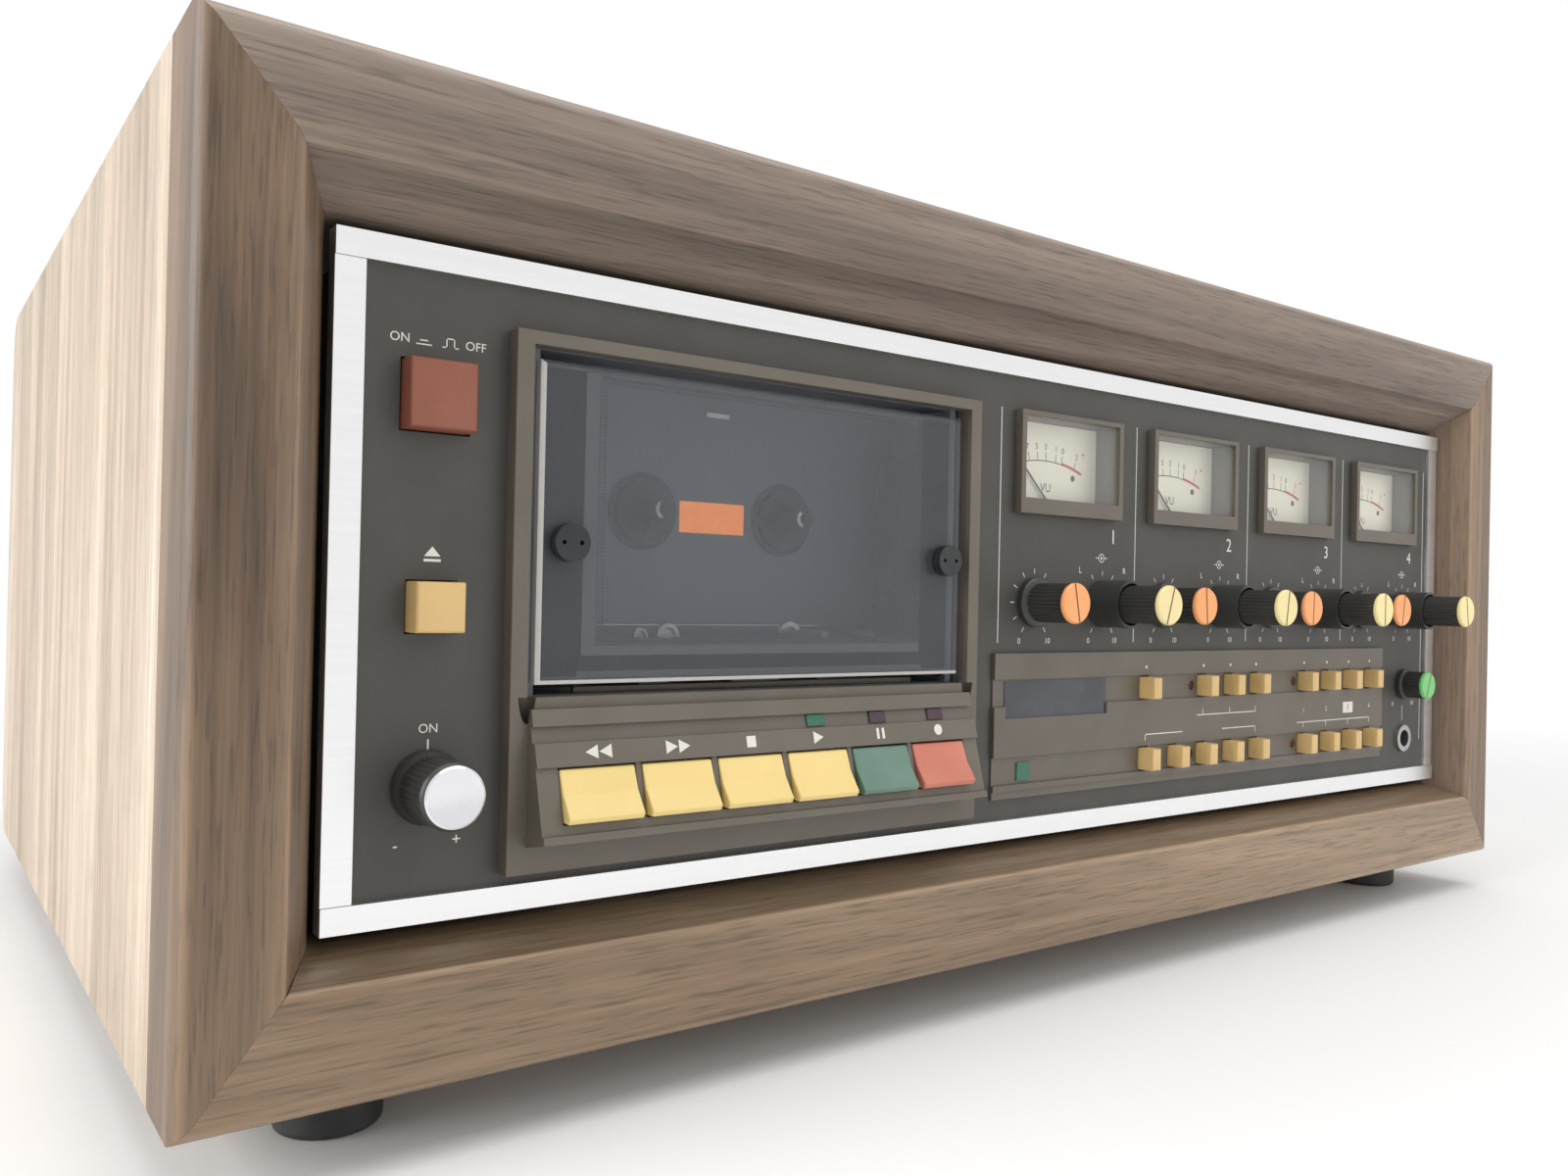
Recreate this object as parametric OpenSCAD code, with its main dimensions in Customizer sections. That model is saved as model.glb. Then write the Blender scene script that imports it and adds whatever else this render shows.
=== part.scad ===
/* [Wooden case] */
// Width of the wooden case
case_w = 486; // [480:1:510]
// Height of the wooden case without its feet
case_h = 199; // [194:1:215]
// Depth of the wooden case
case_d = 341; // [320:1:400]
// Thickness of the case boards
board_t = 18; // [12:1:19]
// Radius of the rounded rear corners of the boards
board_r = 12; // [4:1:16]
// Thickness of the front mouldings, front to back
moulding_t = 22; // [18:1:30]
// Flat width of the side mouldings before they slope in
flat_side = 18.1; // [12:0.1:22]
// Flat width of the upper moulding
flat_top = 20.6; // [14:0.1:24]
// Flat width of the lower moulding
flat_bottom = 22.6; // [14:0.1:25]
// Depth of the sloping inner face of the mouldings
moulding_slope = 13.7; // [8:0.1:16]
// Radius of the mouldings' outer front edge
moulding_r = 3.5; // [1:0.5:6]
// Width of the battens that carry the recorder
batten_w = 24; // [10:1:40]
// Distance of the battens from the middle of the case
batten_x = 150; // [60:1:180]
// Width of the seams between the wooden pieces, the trim pieces and the lid
seam = 0.06; // [0.02:0.01:0.1]
// Radius of the feet
foot_r = 11; // [8:0.5:18]
// Height of the feet
foot_h = 14; // [6:0.5:25]
// Distance of a foot's centre from the side of the case
foot_in_x = 36; // [20:1:60]
// Distance of a foot's centre from the front or back of the case
foot_in_y = 32; // [20:1:60]

/* [Faceplate] */
// Width of the side mouldings, from the case's side to its opening
side_w = 25.9; // [22:0.1:28]
// Height of the faceplate with its trim
face_h = 136; // [134:0.5:140]
// Gap between the faceplate and the case opening at the sides
face_gap_x = 1.1; // [0.8:0.1:3]
// Gap between the faceplate and the case opening above and below
face_gap_z = 2.4; // [0.8:0.1:3]
// Distance of the trim behind the front of the case
recess = 9.8; // [4:0.1:12]
// Distance of the faceplate's middle below the middle of the case
face_drop = 1.2; // [0:0.1:3]
// Thickness of the black panel
panel_t = 3; // [2:0.1:5]
// Distance of the black panel behind the trim
panel_y = 1.5; // [0.5:0.1:3]
// Height of the top and bottom trim rails
rail_h = 5.4; // [3:0.1:8]
// Width of the side trim strips
strip_w = 6; // [4:0.1:8]
// Distance of the side strips behind the rails
strip_step = 0.4; // [0.2:0.1:1]

/* [Left controls] */
// Distance of the left controls' centre line from the faceplate's edge
left_in = 20.8; // [18:0.1:24]
// Side of the square power button
power_w = 14; // [10:0.1:16]
// Height of the power button above the middle of the faceplate
power_z = 37.5; // [30:0.5:42]
// Distance that the power button stands out of the panel
power_out = 5.2; // [4.5:0.1:8]
// Side of the square eject button
eject_w = 10.2; // [8:0.1:13]
// Height of the eject button's centre
eject_z = -4.8; // [-8:0.1:2]
// Distance that the eject button stands out of the panel
eject_out = 6; // [4.5:0.1:9]
// Travel of the power and eject buttons
push_travel = 3.5; // [2:0.1:4]
// Gap round every button and key in its opening
button_gap = 0.35; // [0.2:0.05:0.6]
// Height of the pitch knob's centre
pitch_z = -41; // [-46:0.1:-36]
// Radius of the pitch knob's skirt
pitch_r = 7.6; // [6:0.1:10]
// Radius of the pitch knob's polished cap
pitch_cap_r = 6.1; // [4:0.1:7]
// Distance that the pitch knob stands out of the panel
pitch_out = 15.5; // [12:0.1:20]
// Outer radius of the sleeve that the pitch knob pulls out
pitch_sleeve_r = 4; // [3.5:0.1:5]
// Distance that the pitch knob pulls out
pitch_pull = 4; // [2:0.1:5]

/* [Transport] */
// Distance of the transport's centre line from the faceplate's edge
transport_in = 104.3; // [102:0.1:106]
// Width of the transport bezel
bezel_w = 135.6; // [132:0.1:138]
// Top of the transport bezel above the middle of the faceplate
bezel_top = 53.3; // [52:0.1:56]
// Bottom of the transport bezel
bezel_bottom = -60.2; // [-62:0.1:-58]
// Distance that the bezel stands out of the panel
bezel_out = 4; // [3:0.1:6]
// Width of the bezel's opening round the glass
mouth_w = 128; // [125:0.1:130]
// Top of the bezel's opening
mouth_top = 50.5; // [49:0.1:51.5]
// Bottom of the bezel's opening
mouth_bottom = -23.4; // [-24.4:0.1:-23]
// Width of the glass
glass_w = 123.3; // [120:0.1:124]
// Top of the glass
glass_top = 47.9; // [46:0.1:49]
// Bottom of the glass
glass_bottom = -20.9; // [-21.5:0.1:-18]
// Thickness of the glass
glass_t = 3; // [2:0.1:4]
// Distance of the door's screws from its centre line
screw_x = 55.2; // [50:0.1:56]
// Height of the door's screws
screw_z = 9.3; // [0:0.1:20]
// Radius of the screw heads
screw_r = 4.1; // [3:0.1:5]
// Distance that the screw heads stand out of the glass
screw_out = 3; // [1.5:0.1:4]
// Width of the cassette bay
bay_w = 121; // [118:0.1:122]
// Distance of the deck plate behind the trim
deck_y = 26; // [24:0.1:30]
// Thickness of the walls of the bay
bay_wall = 2; // [1.5:0.1:3]
// Distance between the two reel spindles
reel_spacing = 42.5; // [40:0.1:45]
// Height of the reel spindles
reel_z = 19.2; // [16:0.1:22]
// Length of a reel spindle in front of the deck plate
reel_out = 12.5; // [11:0.1:13.5]
// Width of a tape cassette
cassette_w = 100.4; // [98:0.1:101]
// Thickness of a tape cassette at its thick edge
cassette_t = 12; // [11:0.1:12.4]
// Height of the spindles above a cassette's lower edge
cassette_low = 34.8; // [33:0.1:35.5]
// Height of the door's hinge axis
hinge_z = -19.5; // [-20:0.1:-18]
// Distance of the door's hinge axis behind the trim
hinge_y = 4.4; // [4.2:0.1:4.6]
// Radius of the door's hinge pins
hinge_pin_r = 1.5; // [1:0.1:1.6]
// Distance of the cassette's guide pins from its centre line
guide_x = 42; // [40:0.1:43]
// Height of the guide pins above the cassette's lower edge
guide_rise = 4.5; // [3.5:0.1:5.5]
// Distance of the guide pins' tips behind the trim
guide_y = 12; // [10:0.1:14]
// Distance of the capstan from the cassette's centre line
capstan_x = 21.5; // [20:0.1:22.5]
// Height of the capstan above the cassette's lower edge
capstan_rise = 4.8; // [4.7:0.1:5.5]
// Distance of the capstan's tip behind the trim
capstan_y = 6; // [5:0.1:8]
// Radius of the rubber roller
roller_r = 3; // [2.5:0.1:3.2]
// Rise of the head bridge when it plays
bridge_rise = 4; // [2:0.1:4.2]

/* [Transport keys] */
// Height of the top of the block that holds the keys
block_top = -25.8; // [-26.2:0.1:-25.4]
// Height of the block's lower lip
block_low = -52.8; // [-54:0.1:-52.5]
// Distance that the block's upper edge stands out of the panel
block_out = 5.5; // [5:0.1:7]
// Lean of the block's front in degrees
block_lean = 15.5; // [12:0.5:18]
// Height of the bar above the lamps
lamp_bar_h = 3.5; // [2:0.1:4]
// Height of the slot that holds the lamps
lamp_slot_h = 3.4; // [3:0.1:4]
// Height of the bar with the keys' signs
sign_bar_h = 4.9; // [4:0.1:5]
// Depth of the lamp slot
bar_step = 1.2; // [0.6:0.1:2]
// Depth of the field that the keys stand in
key_step = 0.8; // [0.4:0.1:1.5]
// Width of the block that holds the keys
block_w = 127.3; // [124:0.1:130]
// Distance between neighbouring keys
key_pitch = 19.8; // [19:0.1:20.5]
// Width of a key
key_w = 17.8; // [16:0.1:18.5]
// Top of the keys
key_top = -38.2; // [-39:0.1:-38]
// Bottom of the keys
key_bottom = -49; // [-50:0.1:-48]
// Travel of a key
key_travel = 2.5; // [1:0.1:3]

/* [Channels] */
// Distance of the last channel line from the faceplate's right edge
line_in = 8; // [7:0.1:9]
// Distance of the first channel line from the faceplate's left edge
channels_in = 184; // [183:0.1:186]
// Distance of a meter from its channel line
meter_in = 5.95; // [3:0.05:8]
// Width of a meter's bezel
meter_w = 44.7; // [42:0.1:47]
// Top of the meters
meter_top = 53.4; // [50:0.1:55]
// Bottom of the meters
meter_bottom = 24.1; // [22:0.1:26]
// Distance that the meters stand out of the panel
meter_out = 2.5; // [1.5:0.1:4]
// Width of a meter bezel's sides
meter_side = 1.8; // [1.2:0.1:3]
// Height of a meter bezel's upper bar
meter_upper = 1.3; // [1:0.1:3]
// Height of a meter bezel's lower bar
meter_lower = 4.4; // [3.5:0.1:5]
// Depth of a dial behind the meter's front
dial_depth = 9.5; // [7:0.1:11]
// Length of a meter needle from its axis
needle_l = 19; // [15:0.1:20]
// Swing of a meter needle from its left stop to its right stop
needle_swing = 92; // [80:1:100]
// Distance of an input knob from its channel line
input_in = 14.7; // [14:0.1:16]
// Distance of an output knob from its channel line
output_in = 44.8; // [43:0.1:46]
// Height of the channel knobs
knob_z = -1.3; // [-3:0.1:0]
// Radius of an input knob's skirt
skirt_r = 7.1; // [6.6:0.1:8]
// Radius of the body of the input and output knobs
knob_r = 5.6; // [5.2:0.1:6]
// Distance that an input knob stands out of the panel
input_out = 16; // [12:0.1:20]
// Radius of a pan ring
ring_r = 7.1; // [6.9:0.1:8]
// Distance that a pan ring stands out of the panel
ring_out = 11; // [8:0.1:13]
// Distance that an output knob stands out of the panel
output_out = 24.7; // [20:0.1:28]
// Depth of the gripping grooves of a knob
groove = 0.35; // [0.1:0.05:0.5]
// Distance that a knob's coloured cap stands past its body
cap_lip = 0.1; // [0.05:0.05:0.3]
// Half of the angle that a knob turns through
knob_turn = 150; // [120:1:160]

/* [Counter panel and phones] */
// Distance of the counter panel's left edge from the first channel line
counter_in = 2; // [0:0.1:4]
// Distance of the counter panel's right edge from the last channel line
counter_right_in = 31.5; // [29:0.1:34]
// Top of the counter panel
counter_top = -15.8; // [-17:0.1:-15]
// Bottom of the counter panel
counter_bottom = -56.8; // [-58:0.1:-56]
// Distance that the counter panel stands out of the panel
counter_out = 1.3; // [1:0.1:2.5]
// Thickness of the counter panel
counter_t = 4; // [3:0.1:4.5]
// Depth of the two bands that the small buttons stand in
band_depth = 0.8; // [0.3:0.1:1.2]
// Height of each band
band_h = 7.8; // [7.4:0.1:8.6]
// Height of the centre of the upper band
upper_z = -27; // [-28:0.1:-26]
// Height of the centre of the lower band
lower_z = -49; // [-50:0.1:-48.5]
// Distance of the first small button from the counter panel's left edge
small_left = 67.2; // [66:0.1:69]
// Distance of the last small button from the counter panel's right edge
small_right = 9.65; // [8:0.05:12]
// Width of a small button
small_w = 4; // [3:0.1:5]
// Height of a small button
small_h = 6.6; // [5:0.1:6.8]
// Distance that a small button stands out of the counter panel
small_out = 4.7; // [3.5:0.1:6]
// Travel of a small button
small_travel = 2; // [1:0.1:2.5]
// Distance of the phones controls from the last channel line
phones_in = 13.7; // [13:0.1:15]
// Height of the phones knob
phones_z = -30; // [-32:0.1:-28]
// Distance that the phones knob stands out of the panel
phones_out = 10.3; // [8:0.1:13]
// Radius of the phones knob's body
phones_r = 5.1; // [4.6:0.1:5.6]
// Height of the phones socket
socket_z = -51; // [-52:0.1:-50]
// Radius of the bore of the phones socket
socket_r = 3.2; // [3.18:0.01:3.3]
// Length of the phones socket
socket_l = 30; // [25:1:40]
// Radius of the nut of the phones socket
nut_r = 5.1; // [4.8:0.1:6]

/* [Chassis] */
// Distance of the chassis sides inside the faceplate's edges
chassis_in = 4; // [3:0.1:6]
// Height of the chassis
chassis_h = 127; // [125:0.5:130]
// Depth of the chassis behind the panel
chassis_d = 296; // [260:1:305]
// Thickness of the chassis sheet
sheet_t = 1.2; // [1:0.1:2]
// Radius of a shaft of the knobs
shaft_r = 3; // [2.5:0.1:3.2]
// Running clearance of a shaft in its bore
run = 0.06; // [0.02:0.01:0.1]
// Distance between neighbouring line sockets on the back
line_socket_pitch = 16; // [14:0.5:20]
// Height of the upper line sockets
line_socket_z = 20; // [0:0.5:30]
// Distance between the two rows of line sockets
line_socket_drop = 22; // [14:0.5:24]
// Distance of the first line sockets from the chassis side
socket_in = 62; // [30:0.5:80]
// Width of the mains inlet
inlet_w = 27.4; // [24:0.1:30]
// Height of the mains inlet
inlet_h = 20.4; // [18:0.1:24]
// Distance of the mains inlet from the chassis side
inlet_in = 78; // [40:0.5:90]
// Height of the mains inlet's centre
inlet_z = -35.5; // [-44:0.5:-20]
// Outer radius of a line socket
line_socket_r = 4.1; // [4:0.05:4.3]

/* [Hidden] */
$fn = 64;
cut = 0.5;
channels = 4;
keys = 6;
upper_places = [0, 2, 3, 4, 6, 7, 8, 9];
lower_places = [0, 1, 2, 3, 4, 6, 7, 8, 9];
lamp_places = [2, 6];

walnut = [0.36, 0.24, 0.17];
walnut_light = [0.45, 0.32, 0.23];
silver = [0.8, 0.8, 0.8];
steel = [0.5, 0.5, 0.5];
panel_black = [0.16, 0.155, 0.145];
bezel_brown = [0.28, 0.25, 0.22];
knob_black = [0.09, 0.09, 0.085];
key_yellow = [0.95, 0.82, 0.5];
small_tan = [0.78, 0.62, 0.36];
cap_orange = [0.95, 0.55, 0.28];
cap_cream = [0.87, 0.8, 0.52];
smoke = [0.2, 0.22, 0.25];

// Widths that follow the case: the faceplate, the chassis, the channels and the counter panel
face_w = case_w - 2 * (side_w + face_gap_x);
chassis_w = face_w - 2 * chassis_in;
channel_pitch = (face_w - channels_in - line_in) / channels;
counter_w = channels * channel_pitch + counter_in - counter_right_in;
small_pitch = (counter_w - small_left - small_right) / 9;

// Places along Y: the front of the case, the trim and the rearmost board edge
front_reach = output_out - panel_y - recess;
front_y = front_reach - (case_d + front_reach) / 2;
trim_y = front_y + recess;
back_y = front_y + case_d;
panel_back = panel_y + panel_t;
face_z = foot_h + case_h / 2 - face_drop;

// Places across the faceplate, from its middle
left_x = left_in - face_w / 2;
transport_x = transport_in - face_w / 2;
phones_x = face_w / 2 - line_in - phones_in;
function line_x(i) = face_w / 2 - line_in - (channels - i) * channel_pitch;
function input_x(i) = line_x(i) + input_in;
function output_x(i) = line_x(i) + output_in;
function meter_x(i) = line_x(i) + meter_in + meter_w / 2;
function key_x(i) = transport_x + (i - (keys - 1) / 2) * key_pitch;
function small_x(place) = line_x(0) - counter_in + small_left + place * small_pitch;

opening_top = face_h / 2 + face_gap_z - face_drop;
opening_bottom = -face_h / 2 - face_gap_z - face_drop;
top_w = case_h / 2 - opening_top;
bottom_w = case_h / 2 + opening_bottom;

counter_y = panel_y - counter_out;
counter_left = line_x(0) - counter_in;
counter_x = counter_left + counter_w / 2;
small_front = counter_y - small_out;
pitch_shaft_l = pitch_out - 6 + panel_t + 8;
button_back = 8;
ring_front = panel_y - ring_out;
meter_front = panel_y - meter_out;
dial_y = meter_front + dial_depth;
meter_z = (meter_top + meter_bottom) / 2;
needle_axis_z = meter_bottom + 2.6;
needle_y = dial_y - 1.4;
lens_y = meter_front + 1;
lens_t = 1;
glass_y = -glass_t / 2;
holder_y = glass_y + glass_t;
cassette_bottom = reel_z - cassette_low;
holder_w = bay_w - 2;
well_front = glass_y + glass_t + 0.9;
well_w = bay_w + 2 * bay_wall;

// The faceplate's frame: Y runs inwards from the trim, Z up from the faceplate's middle
module on_deck() {
  translate([0, trim_y, face_z])
    children();
}

// A round piece along Y, with its front end at y
module facing(x, y, z) {
  translate([x, y, z])
    rotate([-90, 0, 0])
      children();
}

// A block given by its low and high corners
module block(low, high) {
  translate(low)
    cube(high - low);
}

// A block centred across x, from its front at y, standing on z
module centred_block(x, y, z, size) {
  translate([x - size[0] / 2, y, z])
    cube(size);
}

// The corner that rounding takes off the edge at the origin
module round_off(r) {
  difference() {
    translate([-cut, -cut])
      square(r + cut);
    translate([r, r])
      circle(r);
  }
}

// A push cap with a bevelled front, its centre at x and z
module cap_shape(x, z, w, h, y_front, y_back, bevel) {
  hull() {
    block([x - w / 2 + bevel, y_front, z - h / 2 + bevel],
          [x + w / 2 - bevel, y_front + bevel, z + h / 2 - bevel]);
    block([x - w / 2, y_front + bevel, z - h / 2], [x + w / 2, y_back, z + h / 2]);
  }
}

// ---- Wooden case ----

// Side view of the case behind the mouldings, with its rounded rear corners
module case_outline() {
  depth = case_d - moulding_t;
  difference() {
    square([depth, case_h]);
    for (top = [0, 1])
      translate([depth, top * case_h])
        mirror([1, 0])
          mirror([0, top])
            round_off(board_r);
  }
}

module case_body(x0, x1) {
  translate([x0, front_y + moulding_t, foot_h])
    rotate([90, 0, 90])
      linear_extrude(x1 - x0)
        case_outline();
}

// A board between the sides, from z0 to z1
module cross_board(z0, z1) {
  half = case_w / 2 - board_t - seam;
  intersection() {
    case_body(-half, half);
    block([-half, front_y, z0], [half, back_y, z1]);
  }
}

module case_boards() {
  inner_x = case_w / 2 - board_t;
  high = foot_h + case_h;
  inner_low = foot_h + board_t;
  chassis_low = face_z - chassis_h / 2;
  color(walnut_light) {
    case_body(-case_w / 2, -inner_x);
    case_body(inner_x, case_w / 2);
    cross_board(high - board_t, high);
    cross_board(foot_h, inner_low);
    for (x = [-batten_x, batten_x])
      block([x - batten_w / 2, front_y + moulding_t + seam, inner_low + seam],
            [x + batten_w / 2, trim_y + panel_back + chassis_d, chassis_low]);
  }
}

// Cross-section of a moulding: x runs back from its front, y in from its outer edge
module moulding_profile(w, flat) {
  difference() {
    polygon([[0, 0], [0, flat], [moulding_slope, w], [moulding_t, w], [moulding_t, 0]]);
    round_off(moulding_r);
  }
}

// Line of a mitre: along the rounding, across the flats, down the slopes
function mitre(flat, w, flat_other, w_other) =
  [[0, 0], [moulding_r, moulding_r], [flat_other, flat], [w_other, w]];

// Front view of one moulding between its two mitres, outer edge on the x axis
module mitred(length, start, end) {
  half = length / 2;
  start_side = [for (q = start) [seam / 2 - half + q[0], q[1]]];
  end_side = [for (k = [len(end) - 1:-1:0]) [half - seam / 2 - end[k][0], end[k][1]]];
  rotate([90, 0, 0])
    translate([0, 0, -moulding_t])
      linear_extrude(moulding_t)
        polygon(concat(start_side, end_side));
}

module moulding(length, flat, w, flat_start, w_start, flat_end, w_end) {
  intersection() {
    mitred(length, mitre(flat, w, flat_start, w_start), mitre(flat, w, flat_end, w_end));
    translate([-length / 2, 0, 0])
      rotate([90, 0, 90])
        linear_extrude(length)
          moulding_profile(w, flat);
  }
}

module front_frame() {
  color(walnut)
    translate([0, front_y, foot_h + case_h / 2]) {
      translate([0, 0, -case_h / 2])
        moulding(case_w, flat_bottom, bottom_w, flat_side, side_w, flat_side, side_w);
      translate([0, 0, case_h / 2])
        rotate([0, 180, 0])
          moulding(case_w, flat_top, top_w, flat_side, side_w, flat_side, side_w);
      translate([-case_w / 2, 0, 0])
        rotate([0, 90, 0])
          moulding(case_h, flat_side, side_w, flat_top, top_w, flat_bottom, bottom_w);
      translate([case_w / 2, 0, 0])
        rotate([0, -90, 0])
          moulding(case_h, flat_side, side_w, flat_bottom, bottom_w, flat_top, top_w);
    }
}

module feet() {
  color(knob_black)
    for (x = [-1, 1], y = [front_y + foot_in_y, back_y - foot_in_y])
      translate([x * (case_w / 2 - foot_in_x), y, 0])
        rotate_extrude()
          difference() {
            square([foot_r, foot_h]);
            translate([foot_r, 0])
              mirror([1, 0])
                round_off(1.5);
          }
}

// ---- Faceplate ----

module shaft_hole(x, z, r) {
  facing(x, panel_y - cut, z)
    cylinder(r = r + run, h = panel_t + 2 * cut);
}

module panel_opening(x, z_low, z_high, w) {
  block([x - w / 2, panel_y - cut, z_low], [x + w / 2, panel_back + cut, z_high]);
}

module faceplate() {
  color(panel_black)
    on_deck()
      difference() {
        block([strip_w - face_w / 2, panel_y, rail_h - face_h / 2],
              [face_w / 2 - strip_w, panel_back, face_h / 2 - rail_h]);
        panel_opening(left_x, power_z - power_w / 2 - button_gap, power_z + power_w / 2 + button_gap,
                      power_w + 2 * button_gap);
        panel_opening(left_x, eject_z - eject_w / 2 - button_gap, eject_z + eject_w / 2 + button_gap,
                      eject_w + 2 * button_gap);
        shaft_hole(left_x, pitch_z, pitch_sleeve_r);
        panel_opening(transport_x, mouth_bottom - bay_wall - 0.3, mouth_top + bay_wall + 0.3,
                      well_w + 0.6);
        panel_opening(transport_x, key_bottom - button_gap, key_top + button_gap,
                      (keys - 1) * key_pitch + key_w + 2 * button_gap);
        panel_opening(counter_x, counter_bottom, counter_top, counter_w);
        for (i = [0:channels - 1]) {
          panel_opening(meter_x(i), meter_bottom + 1, meter_top - 1, meter_w - 2);
          shaft_hole(input_x(i), knob_z, shaft_r);
          shaft_hole(output_x(i), knob_z, pitch_sleeve_r);
        }
        shaft_hole(phones_x, phones_z, shaft_r);
        shaft_hole(phones_x, socket_z, nut_r - 0.8);
      }
}

module trim_rails() {
  color(silver)
    on_deck() {
      for (side = [-1, 1]) {
        translate([0, 0, side * (face_h - rail_h) / 2])
          block([-face_w / 2, 0, -rail_h / 2], [face_w / 2, panel_back, rail_h / 2]);
        translate([side * (face_w - strip_w) / 2, 0, 0])
          block([-strip_w / 2, strip_step, rail_h + seam - face_h / 2],
                [strip_w / 2, panel_back, face_h / 2 - rail_h - seam]);
      }
    }
}

// ---- Left controls ----

module power_button() {
  color([0.6, 0.34, 0.26])
    on_deck()
      cap_shape(left_x, power_z, power_w, power_w, panel_y - power_out, button_back, 0.8);
}

module eject_button() {
  color(small_tan)
    on_deck()
      cap_shape(left_x, eject_z, eject_w, eject_w, panel_y - eject_out, button_back, 0.7);
}

// Outline of a fluted knob
module fluted(r, flutes) {
  polygon([for (k = [0:2 * flutes - 1])
    let (a = k * 180 / flutes, q = k % 2 == 0 ? r : r - groove)
    [q * cos(a), q * sin(a)]]);
}

module pitch_sleeve() {
  color(steel)
    on_deck()
      facing(left_x, panel_y - pitch_out + 6, pitch_z)
        difference() {
          cylinder(r = pitch_sleeve_r, h = pitch_shaft_l);
          translate([0, 0, -cut])
            cylinder(r = shaft_r + run, h = pitch_shaft_l + 2 * cut);
        }
}

module pitch_knob() {
  skirt_t = 3;
  body_l = pitch_out - 1.5;
  color(knob_black)
    on_deck()
      difference() {
        union() {
          facing(left_x, panel_y - pitch_out + 1.2, pitch_z)
            linear_extrude(body_l - 1.2)
              fluted(pitch_cap_r + 0.6, 24);
          facing(left_x, panel_y - 0.3 - skirt_t, pitch_z)
            cylinder(r1 = pitch_cap_r + 0.6, r2 = pitch_r, h = skirt_t);
        }
        facing(left_x, panel_y - pitch_out + 6, pitch_z)
          cylinder(r = pitch_sleeve_r + run, h = pitch_out + cut);
      }
  color(steel)
    on_deck()
      facing(left_x, panel_y - pitch_out + 6, pitch_z)
        cylinder(r = shaft_r, h = pitch_shaft_l);
  color(silver)
    on_deck()
      facing(left_x, panel_y - pitch_out, pitch_z)
        cylinder(r1 = pitch_cap_r - 0.5, r2 = pitch_cap_r, h = 1.2);
}

// ---- Transport ----

// Places down the key block's leaning front
lamp_bar_low = block_top - lamp_bar_h;
lamp_slot_low = lamp_bar_low - lamp_slot_h;
sign_bar_low = lamp_slot_low - sign_bar_h;
shelf_low = key_bottom - 2.2;
function block_front(z) = panel_y - block_out - (block_top - z) * tan(block_lean);

// Side view of the key block, y to the front on the first axis and z on the second
module key_block_side() {
  polygon([
    [panel_y, block_top], [block_front(block_top), block_top],
    [block_front(lamp_bar_low), lamp_bar_low], [block_front(lamp_bar_low) + bar_step, lamp_bar_low],
    [block_front(lamp_slot_low) + bar_step, lamp_slot_low], [block_front(lamp_slot_low), lamp_slot_low],
    [block_front(sign_bar_low), sign_bar_low], [block_front(sign_bar_low) + key_step, sign_bar_low],
    [block_front(shelf_low) + key_step, shelf_low], [block_front(shelf_low), shelf_low],
    [block_front(block_low), block_low], [panel_y - bezel_out, block_low - 1.8],
    [panel_y, block_low - 1.8]
  ]);
}

// Draws a side view, y on the first axis and z on the second, as wide as w about x
module widened(x, w) {
  translate([x - w / 2, 0, 0])
    rotate([90, 0, 90])
      linear_extrude(w)
        children();
}

module transport_bezel() {
  front = panel_y - bezel_out;
  color(bezel_brown)
    on_deck()
      difference() {
        union() {
          difference() {
            centred_block(transport_x, front, bezel_bottom,
                          [bezel_w, bezel_out, bezel_top - bezel_bottom]);
            centred_block(transport_x, front - cut, mouth_bottom,
                          [mouth_w, bezel_out + 2 * cut, mouth_top - mouth_bottom]);
          }
          widened(transport_x, block_w)
            key_block_side();
        }
        for (i = [0:keys - 1])
          block([key_x(i) - key_w / 2 - button_gap, -20, key_bottom - button_gap],
                [key_x(i) + key_w / 2 + button_gap, panel_y + cut, key_top + button_gap]);
        for (side = [-1, 1])
          translate([transport_x + side * (block_w / 2 + 0.4), 0, 0])
            rotate([14, 0, 0])
              translate([0, -7.2, -52])
                cylinder(r = 2.2, h = 30);
      }
}

// Side view of a key: a flat upper facet and a lower facet that stands out
module key_side() {
  crease = (key_top + key_bottom) / 2 + 0.4;
  key_front = block_front(key_top) + 0.55;
  polygon([
    [button_back, key_top], [key_front, key_top], [key_front - 2, crease],
    [key_front - 5.4, key_bottom + 1.2], [key_front - 4.7, key_bottom], [button_back, key_bottom]
  ]);
}

module key(i, tint) {
  color(tint)
    on_deck()
      widened(key_x(i), key_w)
        key_side();
}

module rewind_key() { key(0, key_yellow); }
module forward_key() { key(1, key_yellow); }
module stop_key() { key(2, key_yellow); }
module play_key() { key(3, key_yellow); }
module pause_key() { key(4, [0.38, 0.5, 0.44]); }
module record_key() { key(5, [0.78, 0.46, 0.36]); }

module door_glass() {
  color(smoke)
    on_deck()
      difference() {
        centred_block(transport_x, glass_y, glass_bottom, [glass_w, glass_t, glass_top - glass_bottom]);
        for (side = [-1, 1])
          facing(transport_x + side * screw_x, glass_y - cut, screw_z)
            cylinder(r = 1.7, h = glass_t + 2 * cut);
      }
}

module door_screw(x) {
  facing(x, glass_y - screw_out, screw_z)
    difference() {
      union() {
        cylinder(r = screw_r, h = screw_out);
        cylinder(r = 1.5, h = screw_out + glass_t + 2);
      }
      for (side = [-1, 1])
        translate([side * screw_r / 2, 0, -cut])
          cylinder(r = 0.5, h = 1.5 + cut);
    }
}

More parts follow.
